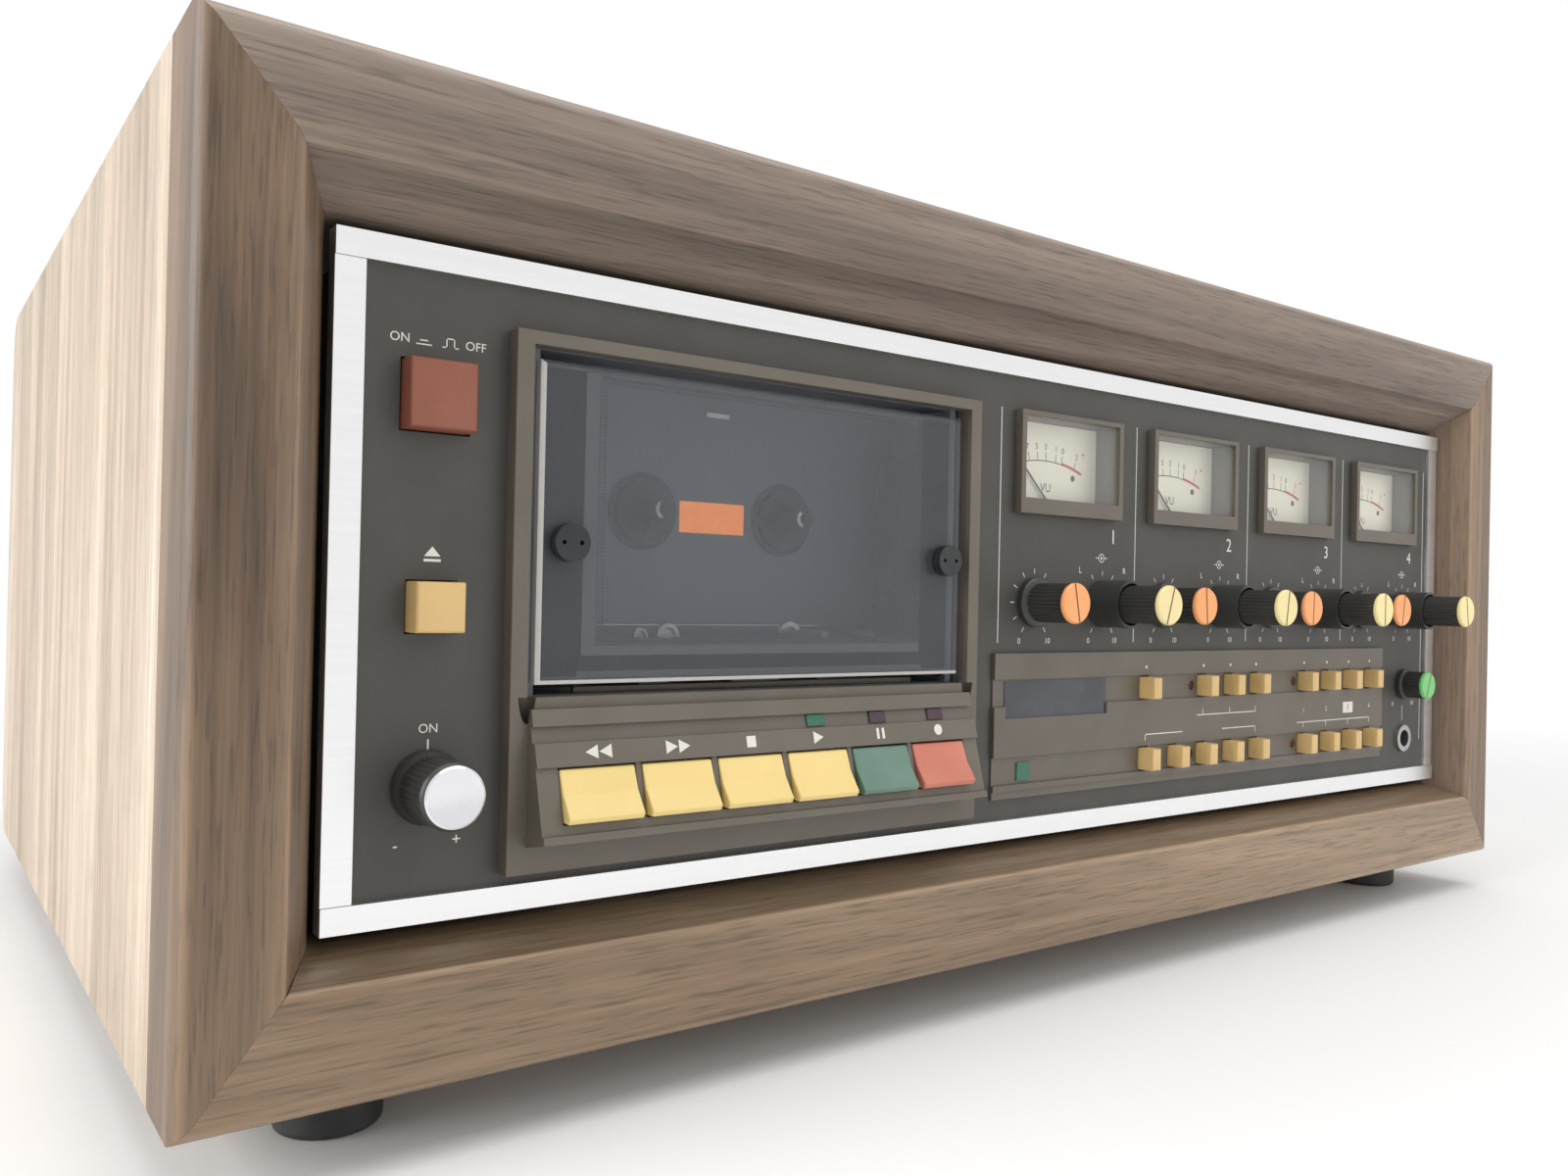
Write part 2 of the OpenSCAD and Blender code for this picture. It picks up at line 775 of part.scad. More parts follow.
// One side of the cassette holder: a channel for the cassette's edge, and the hinge pin
module holder_side() {
  inner_x = cassette_w / 2 + 0.6;
  channel_back = holder_y + 2 + cassette_t + 0.6;
  lip = 3.5;
  block([inner_x, holder_y, cassette_bottom - 1.5], [inner_x + 2, channel_back + 1.5, 38]);
  block([inner_x - lip, channel_back, cassette_bottom - 1.5], [inner_x + 2, channel_back + 1.5, 38]);
  block([inner_x - 5, holder_y, cassette_bottom - 1.5],
        [inner_x, channel_back + 1.5, cassette_bottom - 0.3]);
  difference() {
    block([inner_x - 1, holder_y, glass_bottom + 2.5], [holder_w / 2, holder_y + 2, glass_top - 1]);
    facing(screw_x, holder_y - cut, screw_z)
      cylinder(r = 1.55, h = 3 * cut + 2);
  }
  translate([inner_x, hinge_y, hinge_z])
    rotate([0, 90, 0]) {
      cylinder(r = hinge_pin_r + 1, h = holder_w / 2 - inner_x);
      cylinder(r = hinge_pin_r, h = bay_w / 2 + bay_wall - inner_x);
    }
  block([inner_x, holder_y, hinge_z], [holder_w / 2, hinge_y + hinge_pin_r, cassette_bottom]);
}

module cassette_holder() {
  color(knob_black)
    on_deck() {
      translate([transport_x, 0, 0])
        union() {
          for (side = [0, 1])
            mirror([side, 0, 0])
              holder_side();
          centred_block(0, holder_y, glass_bottom + 2.5, [cassette_w + 3, 2, 3.4]);
        }
      for (side = [-1, 1])
        door_screw(transport_x + side * screw_x);
    }
}

// The cassette well: a deep tray with a flange against the back of the panel
module deck_plate() {
  half = well_w / 2;
  low = mouth_bottom - bay_wall;
  high = mouth_top + bay_wall;
  color([0.13, 0.14, 0.15])
    on_deck()
      translate([transport_x, 0, 0])
        union() {
          difference() {
            union() {
              block([-half, well_front, low], [half, deck_y + bay_wall, high]);
              block([-half - 4, panel_back, low - 4], [half + 4, panel_back + 1.5, high + 4]);
            }
            block([-half + bay_wall, well_front - cut, mouth_bottom],
                  [half - bay_wall, deck_y, mouth_top]);
            for (side = [-1, 1])
              facing(side * reel_spacing / 2, deck_y - cut, reel_z)
                cylinder(r = 2 + run, h = bay_wall + 2 * cut);
            translate([-half - cut, hinge_y, hinge_z])
              rotate([0, 90, 0])
                cylinder(r = hinge_pin_r + run, h = well_w + 2 * cut);
          }
          for (side = [-1, 1])
            facing(side * guide_x, guide_y, cassette_bottom + guide_rise)
              cylinder(r = 1.2, h = deck_y - guide_y + cut);
          facing(capstan_x, capstan_y, cassette_bottom + capstan_rise)
            cylinder(r = 1.1, h = deck_y - capstan_y + cut);
        }
}

// The plate that lifts the heads and the rubber roller to the tape
module head_bridge() {
  plate_y = deck_y - 2;
  low = mouth_bottom + 0.3;
  head_top = cassette_bottom - 0.9;
  color(steel)
    on_deck()
      translate([transport_x, 0, 0])
        union() {
          block([-36, plate_y, low], [36, deck_y - 0.3, head_top]);
          block([-7, 6, low], [7, plate_y + cut, head_top]);
          block([-10, 9, low], [10, plate_y + cut, head_top - 3]);
          block([-32, 7, low], [-24, plate_y + cut, head_top]);
          facing(capstan_x, capstan_y + 0.5, head_top - roller_r)
            cylinder(r = roller_r, h = plate_y - capstan_y - 0.5 + cut);
        }
}

module reel(side, tint) {
  x = transport_x + side * reel_spacing / 2;
  tip_y = deck_y - reel_out;
  color(tint)
    on_deck()
      union() {
        facing(x, deck_y - 2.3, reel_z)
          cylinder(r = 8, h = 2);
        facing(x, deck_y - 5, reel_z)
          cylinder(r = 5, h = 3);
        facing(x, tip_y + 2, reel_z)
          cylinder(r1 = 3, r2 = 3.8, h = reel_out - 4);
        for (k = [0:2])
          facing(x, tip_y + 4, reel_z)
            rotate([0, 0, 120 * k])
              translate([0, -0.7, 0])
                cube([4.7, 1.4, reel_out - 6]);
        facing(x, tip_y, reel_z)
          cylinder(r1 = 1.4, r2 = 2, h = 3);
        facing(x, deck_y - 1, reel_z)
          cylinder(r = 2, h = bay_wall + 4);
      }
}

module supply_reel() { reel(-1, [0.2, 0.21, 0.22]); }
module takeup_reel() { reel(1, [0.2, 0.21, 0.22]); }

// ---- Channels ----

// A meter: its bezel in front of the panel and the box behind with the dial at its floor
module meter(i) {
  x = meter_x(i);
  height = meter_top - meter_bottom;
  inner_w = meter_w - 2 * meter_side;
  difference() {
    union() {
      centred_block(x, meter_front, meter_bottom, [meter_w, meter_out, height]);
      centred_block(x, panel_y, meter_bottom + 1, [meter_w - 2, dial_depth + 4, height - 2]);
    }
    centred_block(x, meter_front - cut, meter_bottom + meter_lower,
                  [inner_w, dial_depth + cut, height - meter_lower - meter_upper]);
    centred_block(x, panel_y + 1, meter_bottom + meter_upper,
                  [inner_w, dial_y - panel_y - 1, height - meter_lower - meter_upper]);
  }
  facing(x, needle_y - 0.5, needle_axis_z)
    cylinder(r = 0.6, h = 2.5);
}

module meters() {
  color([0.42, 0.38, 0.28])
    on_deck()
      for (i = [0:channels - 1])
        meter(i);
}

// A needle against its left stop
module needle(i) {
  color(knob_black)
    on_deck()
      translate([meter_x(i), needle_y, needle_axis_z])
        rotate([0, -needle_swing / 2, 0])
          difference() {
            union() {
              facing(0, 0, 0)
                cylinder(r = 1.1, h = 0.6);
              block([-0.22, 0.1, 0], [0.22, 0.5, needle_l]);
            }
            facing(0, -cut, 0)
              cylinder(r = 0.6 + run, h = 2 * cut + 1);
          }
}

// Knob shaft through the panel, from y_front to the controls behind
module knob_shaft(x, z, r, y_front) {
  facing(x, y_front, z)
    cylinder(r = r, h = button_back - y_front);
}

module knob_cap(x, z, r, y, tint) {
  color(tint)
    on_deck()
      difference() {
        facing(x, y, z)
          cylinder(r1 = r - 0.5, r2 = r, h = 1.2);
        translate([x, y, z])
          cube([0.7, 0.8, 2 * r + 1], center = true);
      }
}

module input_style_knob(x, z, r, skirt, out, tint) {
  front = panel_y - out;
  color(knob_black)
    on_deck()
      union() {
        facing(x, front + 1.2, z)
          linear_extrude(out - 1.5)
            fluted(r, 24);
        facing(x, panel_y - 2.3, z)
          cylinder(r1 = skirt - 0.6, r2 = skirt, h = 2);
        knob_shaft(x, z, shaft_r, 0);
      }
  knob_cap(x, z, r + cap_lip, front, tint);
}

module pan_ring(i) {
  x = output_x(i);
  rim = 0.8;
  color(knob_black)
    on_deck()
      difference() {
        union() {
          facing(x, ring_front, knob_z)
            cylinder(r = ring_r, h = ring_out - 0.3);
          knob_shaft(x, knob_z, pitch_sleeve_r, 0);
        }
        facing(x, ring_front - cut, knob_z)
          cylinder(r = ring_r - rim, h = 3 + cut);
        facing(x, ring_front, knob_z)
          cylinder(r = shaft_r - 0.4 + run, h = ring_out + button_back + cut);
      }
}

module output_knob(i) {
  x = output_x(i);
  front = panel_y - output_out;
  color(knob_black)
    on_deck()
      union() {
        facing(x, front + 1.2, knob_z)
          linear_extrude(output_out - ring_out + 1.5)
            fluted(knob_r, 24);
        knob_shaft(x, knob_z, shaft_r - 0.4, ring_front);
      }
  knob_cap(x, knob_z, knob_r + cap_lip, front, cap_cream);
}

// ---- Counter panel ----

module small_opening(place, z) {
  block([small_x(place) - small_w / 2 - button_gap, counter_y - cut, z - small_h / 2 - button_gap],
        [small_x(place) + small_w / 2 + button_gap, counter_y + counter_t + cut,
         z + small_h / 2 + button_gap]);
}

module band(z) {
  block([counter_left - cut, counter_y - cut, z - band_h / 2],
        [counter_left + counter_w + cut, counter_y + band_depth, z + band_h / 2]);
}

// The window of the tape counter, from y back to the floor of its recess
module counter_window(y) {
  block([counter_left + 4.5, y, -34.2], [counter_left + 48.5, counter_y + 1.6, -23.7]);
}

// The lamp window of the noise reduction
module noise_window(y) {
  block([counter_left + 10, y, -52], [counter_left + 15.2, counter_y + 1.6, -46.8]);
}

module counter_panel() {
  color(bezel_brown)
    on_deck()
      difference() {
        block([counter_left, counter_y, counter_bottom],
              [counter_left + counter_w, counter_y + counter_t, counter_top]);
        band(upper_z);
        band(lower_z);
        block([counter_left - cut, counter_y - cut, counter_bottom - cut],
              [counter_left + counter_w + cut, counter_y + 0.5, counter_bottom + 2.2]);
        counter_window(counter_y - cut);
        noise_window(counter_y - cut);
        for (place = upper_places)
          small_opening(place, upper_z);
        for (place = lower_places)
          small_opening(place, lower_z);
        for (place = lamp_places, z = [upper_z, lower_z])
          facing(small_x(place) - 5.4, counter_y - cut, z)
            cylinder(r = 1.5, h = counter_t + 2 * cut);
      }
}

// The four meter housings and the counter panel, five separate mouldings
module panel_mouldings() {
  meters();
  counter_panel();
}

module small_button(place, z) {
  color(small_tan)
    on_deck()
      cap_shape(small_x(place), z, small_w, small_h, small_front, button_back, 0.4);
}

// Side view of a key's lamp, on the floor of its slot
module lamp_side() {
  high = lamp_bar_low - 0.3;
  low = lamp_slot_low + 0.3;
  floor_high = block_front(high) + bar_step;
  floor_low = block_front(low) + bar_step;
  polygon([[floor_high - 0.5, high], [floor_low - 0.5, low], [floor_low, low], [floor_high, high]]);
}

// Meter lenses, display window, lamps and their windows
module windows() {
  color([0.8, 0.85, 0.85, 0.4])
    on_deck()
      for (i = [0:channels - 1])
        centred_block(meter_x(i), lens_y, meter_bottom + meter_lower,
                      [meter_w - 2 * meter_side, lens_t, meter_top - meter_bottom - meter_lower - meter_upper]);
  color([0.3, 0.36, 0.42])
    on_deck()
      counter_window(counter_y + 0.6);
  color([0.2, 0.5, 0.35])
    on_deck()
      noise_window(counter_y + 0.4);
  color([0.25, 0.08, 0.08])
    on_deck()
      for (place = lamp_places, z = [upper_z, lower_z])
        facing(small_x(place) - 5.4, counter_y + band_depth - 0.3, z)
          cylinder(r = 1.4, h = 3);
  color([0.1, 0.4, 0.3])
    on_deck()
      for (i = [3:5])
        widened(key_x(i) + 0.8, 5.4)
          lamp_side();
  color(cap_orange)
    on_deck()
      centred_block(transport_x, deck_y - 0.4, 15, [20.2, 0.4, 7.9]);
}

module phones_knob() {
  input_style_knob(phones_x, phones_z, phones_r, phones_r + 0.7, phones_out, [0.45, 0.75, 0.45]);
}

// ---- Chassis and what it holds ----

// Places of the line sockets: four columns of two, then two columns of two
module line_socket_place() {
  first_x = socket_in - chassis_w / 2;
  for (k = [0, 1, 2, 3, 5.6, 6.6], row = [0, 1])
    translate([first_x + k * line_socket_pitch, 0, line_socket_z - row * line_socket_drop])
      children();
}

// The opening of the mains inlet, larger by gap all round, from y0 to y1
module inlet(gap, y0, y1) {
  x = chassis_w / 2 - inlet_in;
  block([x - inlet_w / 2 - gap, y0, inlet_z - inlet_h / 2 - gap],
        [x + inlet_w / 2 + gap, y1, inlet_z + inlet_h / 2 + gap]);
}

module chassis() {
  rear_y = panel_back + chassis_d;
  half = chassis_w / 2;
  low = -chassis_h / 2;
  high = chassis_h / 2;
  color(steel)
    on_deck() {
      difference() {
        block([-half, panel_back, low], [half, rear_y, high - sheet_t]);
        block([sheet_t - half, panel_back - cut, low + sheet_t],
              [half - sheet_t, rear_y - sheet_t, high]);
        line_socket_place()
          facing(0, rear_y - sheet_t - cut, 0)
            cylinder(r = line_socket_r + 0.3, h = sheet_t + 2 * cut);
        inlet(0.3, rear_y - sheet_t - cut, rear_y + cut);
      }
      block([-half, panel_back, high - sheet_t + seam], [half, rear_y, high]);
    }
}

// A control that a shaft turns in, against the back of the panel
module control(x, z, bore_r, shaft_end) {
  facing(x, panel_back, z)
    difference() {
      cylinder(r = 7.5, h = shaft_end - panel_back + 3);
      translate([0, 0, -cut])
        cylinder(r = bore_r + run, h = shaft_end - panel_back + 0.3 + cut);
    }
}

// The main board on its four posts
module board_block(x0, x1) {
  floor_z = sheet_t - chassis_h / 2;
  post_h = 8;
  block([x0, 60, floor_z + post_h], [x1, 240, floor_z + post_h + 1.6]);
  for (x = [x0 + 10, x1 - 10], y = [70, 230])
    translate([x, y, floor_z])
      cylinder(r = 3, h = post_h - seam);
}

module electronics() {
  rear_y = panel_back + chassis_d;
  chassis_low = sheet_t - chassis_h / 2;
  board_y = button_back + small_travel + 0.3;
  board_left = 152 - chassis_w / 2;
  board_right = chassis_w / 2 - 12;
  color(silver)
    on_deck()
      difference() {
        union() {
          facing(phones_x, panel_y - 1.2, socket_z)
            cylinder(r = nut_r, h = 1.2);
          facing(phones_x, panel_y, socket_z)
            cylinder(r = nut_r - 0.8, h = socket_l);
        }
        facing(phones_x, panel_y - 1.2 - cut, socket_z)
          cylinder(r = socket_r, h = socket_l - 1 + cut);
      }
  color([0.75, 0.7, 0.55])
    on_deck()
      line_socket_place()
        facing(0, rear_y - 4, 0)
          difference() {
            cylinder(r = line_socket_r, h = 12);
            translate([0, 0, 4])
              cylinder(r = 1.7, h = 9);
          }
  color([0.12, 0.3, 0.16])
    on_deck() {
      socket_x = socket_in - chassis_w / 2;
      block([socket_x - 10, rear_y - 5.6 - seam, line_socket_z - line_socket_drop - 12],
            [socket_x + 6.6 * line_socket_pitch + 10, rear_y - 4 - seam, line_socket_z + 12]);
      board_block(board_left, board_right);
      block([counter_left - 9, board_y, -56], [counter_left + counter_w + 7, board_y + 1.6, -19]);
      for (x = [counter_left - 5, counter_left + counter_w + 4], z = [-24, -51])
        facing(x, panel_back, z)
          cylinder(r = 2.5, h = board_y - panel_back - seam);
    }
  color(steel)
    on_deck() {
      for (i = [0:channels - 1]) {
        control(input_x(i), knob_z, shaft_r, button_back);
        control(output_x(i), knob_z, pitch_sleeve_r, button_back);
      }
      control(phones_x, phones_z, shaft_r, button_back);
      control(left_x, pitch_z, pitch_sleeve_r, panel_y - pitch_out + pitch_shaft_l + 6);
    }
  color([0.3, 0.3, 0.32])
    on_deck()
      block([12 - chassis_w / 2, 180, chassis_low], [82 - chassis_w / 2, 240, chassis_low + 60]);
  color([0.05, 0.05, 0.05])
    on_deck()
      difference() {
        inlet(0, rear_y - 20, rear_y + 2);
        inlet(-2.2, rear_y - 14, rear_y + 2 + cut);
      }
}

case_boards();
front_frame();
feet();
chassis();
faceplate();
trim_rails();
transport_bezel();
panel_mouldings();
windows();
deck_plate();
electronics();
door_glass();
cassette_holder();
supply_reel();
takeup_reel();
head_bridge();
rewind_key();
forward_key();
stop_key();
play_key();
pause_key();
record_key();
power_button();
eject_button();
pitch_sleeve();
pitch_knob();
phones_knob();
for (i = [0:channels - 1]) {
  input_style_knob(input_x(i), knob_z, knob_r, skirt_r, input_out, cap_orange);
  pan_ring(i);
  output_knob(i);
  needle(i);
}
for (i = [0:len(upper_places) - 1])
  small_button(upper_places[i], upper_z);
for (i = [0:len(lower_places) - 1])
  small_button(lower_places[i], lower_z);
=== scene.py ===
import math

import bmesh
import bpy
from mathutils import Matrix, Vector


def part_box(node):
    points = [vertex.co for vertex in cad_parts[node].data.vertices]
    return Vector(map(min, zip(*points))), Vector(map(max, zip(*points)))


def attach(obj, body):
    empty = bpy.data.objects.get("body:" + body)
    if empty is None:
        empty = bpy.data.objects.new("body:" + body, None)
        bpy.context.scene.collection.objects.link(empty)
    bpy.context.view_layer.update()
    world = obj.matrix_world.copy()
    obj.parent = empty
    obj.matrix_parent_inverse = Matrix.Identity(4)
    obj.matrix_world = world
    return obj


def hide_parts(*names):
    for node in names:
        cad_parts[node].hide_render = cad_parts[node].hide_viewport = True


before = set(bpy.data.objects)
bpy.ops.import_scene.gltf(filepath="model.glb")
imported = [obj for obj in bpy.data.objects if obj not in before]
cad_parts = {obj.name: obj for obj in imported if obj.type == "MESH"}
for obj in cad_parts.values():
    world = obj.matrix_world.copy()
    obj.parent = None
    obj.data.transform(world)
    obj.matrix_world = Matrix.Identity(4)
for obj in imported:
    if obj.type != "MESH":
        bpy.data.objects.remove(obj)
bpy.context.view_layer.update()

MM = 0.001
ROOT = "recorder"
CHANNELS = 4

# ---- Places, in millimetres on the faceplate: x from its middle, y inwards from the trim, z up ----

trim_low, trim_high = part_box("trim_rails")
FACE_Z = (trim_low[2] + trim_high[2]) / 2 / MM
TRIM_Y = trim_low[1] / MM
FACE_W = (trim_high[0] - trim_low[0]) / MM
FACE_H = (trim_high[2] - trim_low[2]) / MM
case_low, case_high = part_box("case_boards")
frame_low, frame_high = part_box("front_frame")
CASE_W = (case_high[0] - case_low[0]) / MM
CASE_H = (case_high[2] - case_low[2]) / MM
FOOT_H = case_low[2] / MM
FRONT_Y = frame_low[1] / MM


def panel_place(node):
    """A node's box in faceplate millimetres: its low and high corners."""
    low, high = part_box(node)
    shift = Vector((0, TRIM_Y, FACE_Z))
    return Vector(low) / MM - shift, Vector(high) / MM - shift


def middle(node):
    low, high = panel_place(node)
    return (low + high) / 2


PANEL_Y = panel_place("faceplate")[0].y
LINE_X = [middle(f"input_knob_{i}").x - 14.7 for i in range(1, CHANNELS + 1)]
INPUT_X = [middle(f"input_knob_{i}").x for i in range(1, CHANNELS + 1)]
OUTPUT_X = [middle(f"output_knob_{i}").x for i in range(1, CHANNELS + 1)]
KNOB_Z = middle("input_knob_1").z
LEFT_X = middle("power_button").x
TRANSPORT_X = middle("transport_bezel").x
PHONES_X = middle("phones_knob").x
KEYS = ["rewind_key", "forward_key", "stop_key", "play_key", "pause_key", "record_key"]
KEY_X = [middle(key).x for key in KEYS]
UPPER = [f"upper_button_{k}" for k in range(1, 9)]
LOWER = [f"lower_button_{k}" for k in range(1, 10)]
SMALL_PITCH = middle("upper_button_3").x - middle("upper_button_2").x
COUNTER_FRONT = PANEL_Y - 1.3
COUNTER_LEFT = LINE_X[0] - 2
METER_W = 44.7
METER_X = [x + 5.95 + METER_W / 2 for x in LINE_X]
METER_TOP = 53.4
METER_BOTTOM = 24.1
DIAL_Y = PANEL_Y - 2.5 + 9.5
NEEDLE_Z = METER_BOTTOM + 2.6
DECK_Y = panel_place("deck_plate")[1].y - 2
PRINT_LIFT = 0.04


def at(x, y, z):
    """A place on the faceplate, in metres in the shared frame."""
    return Vector((x, y + TRIM_Y, z + FACE_Z)) * MM


def facing(x, y, z, lean=0.0):
    """Carries flat millimetre artwork onto the faceplate; lean tips its lower edge outwards."""
    upright = Matrix(((1, 0, 0), (0, 0, -1), (0, 1, 0))).to_4x4()
    tip = Matrix.Rotation(lean, 4, "X")
    return Matrix.Translation(at(x, y, z)) @ tip @ upright @ Matrix.Scale(MM, 4)


# ---- Finishes ----

def ink(red, green, blue):
    """A colour as seen, 0 to 255, as the linear colour that a shader takes."""
    def linear(value):
        value = value / 255
        return value / 12.92 if value <= 0.04045 else ((value + 0.055) / 1.055) ** 2.4
    return (linear(red), linear(green), linear(blue), 1)


def blend(colour, other, share):
    return tuple(a + (b - a) * share for a, b in zip(colour, other))


class Finish:
    """A node material with short ways to add the nodes that the finishes here share."""

    def __init__(self, name, colour, roughness=0.5, metallic=0.0):
        self.material = bpy.data.materials.new(name)
        self.material.use_nodes = True
        self.nodes = self.material.node_tree.nodes
        self.links = self.material.node_tree.links
        self.shader = self.nodes["Principled BSDF"]
        self.set("Base Color", colour)
        self.set("Roughness", roughness)
        self.set("Metallic", metallic)
        self.coordinates = None
        self.material.diffuse_color = colour

    def set(self, socket, value):
        self.shader.inputs[socket].default_value = value

    def add(self, kind, **settings):
        node = self.nodes.new(kind)
        for key, value in settings.items():
            setattr(node, key, value)
        return node

    def link(self, source, target):
        self.links.new(source, target)

    def place(self, scale=(1, 1, 1), turn=(0, 0, 0)):
        """Object coordinates, scaled and turned."""
        if self.coordinates is None:
            self.coordinates = self.add("ShaderNodeTexCoord").outputs["Object"]
        mapping = self.add("ShaderNodeMapping")
        self.link(self.coordinates, mapping.inputs["Vector"])
        mapping.inputs["Scale"].default_value = scale
        mapping.inputs["Rotation"].default_value = turn
        return mapping.outputs["Vector"]

    def axis(self, name):
        """One of the object coordinates, in metres."""
        split = self.add("ShaderNodeSeparateXYZ")
        self.link(self.place(), split.inputs["Vector"])
        return split.outputs[name]

    def noise(self, vector, scale, detail=3.0, roughness=0.55, distortion=0.0):
        node = self.add("ShaderNodeTexNoise")
        self.link(vector, node.inputs["Vector"])
        node.inputs["Scale"].default_value = scale
        node.inputs["Detail"].default_value = detail
        node.inputs["Roughness"].default_value = roughness
        node.inputs["Distortion"].default_value = distortion
        return node.outputs["Fac"]

    def maths(self, operation, first, second=0.0, clamp=False):
        node = self.add("ShaderNodeMath", operation=operation, use_clamp=clamp)
        for socket, value in zip(node.inputs, (first, second)):
            if isinstance(value, (int, float)):
                socket.default_value = value
            else:
                self.link(value, socket)
        return node.outputs["Value"]

    def ramp(self, factor, stops):
        node = self.add("ShaderNodeValToRGB")
        self.link(factor, node.inputs["Fac"])
        elements = node.color_ramp.elements
        while len(elements) < len(stops):
            elements.new(0.5)
        for element, (position, colour) in zip(elements, stops):
            element.position = position
            element.color = colour
        return node.outputs["Color"]

    def mix(self, factor, first, second):
        node = self.add("ShaderNodeMix", data_type="RGBA")
        self.link(factor, node.inputs["Factor"])
        colours = [socket for socket in node.inputs if socket.type == "RGBA"]
        for socket, value in zip(colours, (first, second)):
            if isinstance(value, tuple):
                socket.default_value = value
            else:
                self.link(value, socket)
        return [socket for socket in node.outputs if socket.type == "RGBA"][0]

    def shade(self, colour, amount):
        """A colour made darker or lighter by an amount about 1."""
        node = self.add("ShaderNodeVectorMath", operation="SCALE")
        self.link(colour, node.inputs[0])
        self.link(amount, node.inputs["Scale"])
        return node.outputs[0]

    def step(self, value, low, high):
        """0 below low, 1 past high, and even between them."""
        node = self.add("ShaderNodeMapRange")
        self.link(value, node.inputs["Value"])
        node.inputs["From Min"].default_value = low
        node.inputs["From Max"].default_value = high
        return node.outputs["Result"]

    def span(self, factor, low, high):
        node = self.add("ShaderNodeMapRange")
        self.link(factor, node.inputs["Value"])
        node.inputs["To Min"].default_value = low
        node.inputs["To Max"].default_value = high
        return node.outputs["Result"]

    def bump(self, height, depth, strength=0.5):
        node = self.add("ShaderNodeBump")
        self.link(height, node.inputs["Height"])
        node.inputs["Strength"].default_value = strength
        node.inputs["Distance"].default_value = depth
        self.link(node.outputs["Normal"], self.shader.inputs["Normal"])

    def colour(self, socket):
        self.link(socket, self.shader.inputs["Base Color"])

    def rough(self, socket):
        self.link(socket, self.shader.inputs["Roughness"])


def moulded(name, colour, roughness=0.42, grain=0.00004, vary=0.12, scale=1400):
    """Moulded plastic or satin paint: faint mottling and a fine grain."""
    finish = Finish(name, colour, roughness)
    cloud = finish.noise(finish.place(), 60, 4)
    finish.colour(finish.ramp(cloud, [(0.3, blend(colour, (0, 0, 0, 1), vary)),
                                      (0.7, blend(colour, (1, 1, 1, 1), vary * 0.35))]))
    pores = finish.noise(finish.place(), scale, 2)
    finish.rough(finish.span(pores, roughness - 0.06, roughness + 0.08))
    finish.bump(pores, grain)
    return finish.material


def metal(name, colour, roughness=0.28, along=(1, 1, 1), scale=260, vary=0.15):
    """Metal with a brushed or turned grain; along holds the stretch of the grain."""
    finish = Finish(name, colour, roughness, 1.0)
    lines = finish.noise(finish.place(along), scale, 4, 0.6)
    finish.colour(finish.ramp(lines, [(0.25, blend(colour, (0, 0, 0, 1), vary)), (0.75, colour)]))
    finish.rough(finish.span(lines, roughness - 0.07, roughness + 0.12))
    finish.bump(lines, 0.00002, 0.35)
    return finish.material


def clear(name, colour, alpha, roughness=0.04, mirror=0.5):
    """A clear or smoked pane that was wiped unevenly; mirror is how much it reflects."""
    finish = Finish(name, colour, roughness)
    finish.set("Alpha", alpha)
    finish.set("IOR", 1.49)
    finish.set("Specular IOR Level", mirror)
    wiped = finish.noise(finish.place(), 16, 2)
    finish.rough(finish.span(wiped, roughness, roughness + 0.04))
    finish.material.surface_render_method = "BLENDED"
    return finish.material


def lamp(name, colour, glow):
    """A small lens over a lamp; it also gives the orange tape window a painted glow."""
    finish = Finish(name, colour, 0.18)
    cloud = finish.noise(finish.place(), 500, 2)
    finish.colour(finish.ramp(cloud, [(0.3, blend(colour, (0, 0, 0, 1), 0.25)), (0.7, colour)]))
    finish.set("Emission Color", colour)
    finish.set("Emission Strength", glow)
    return finish.material


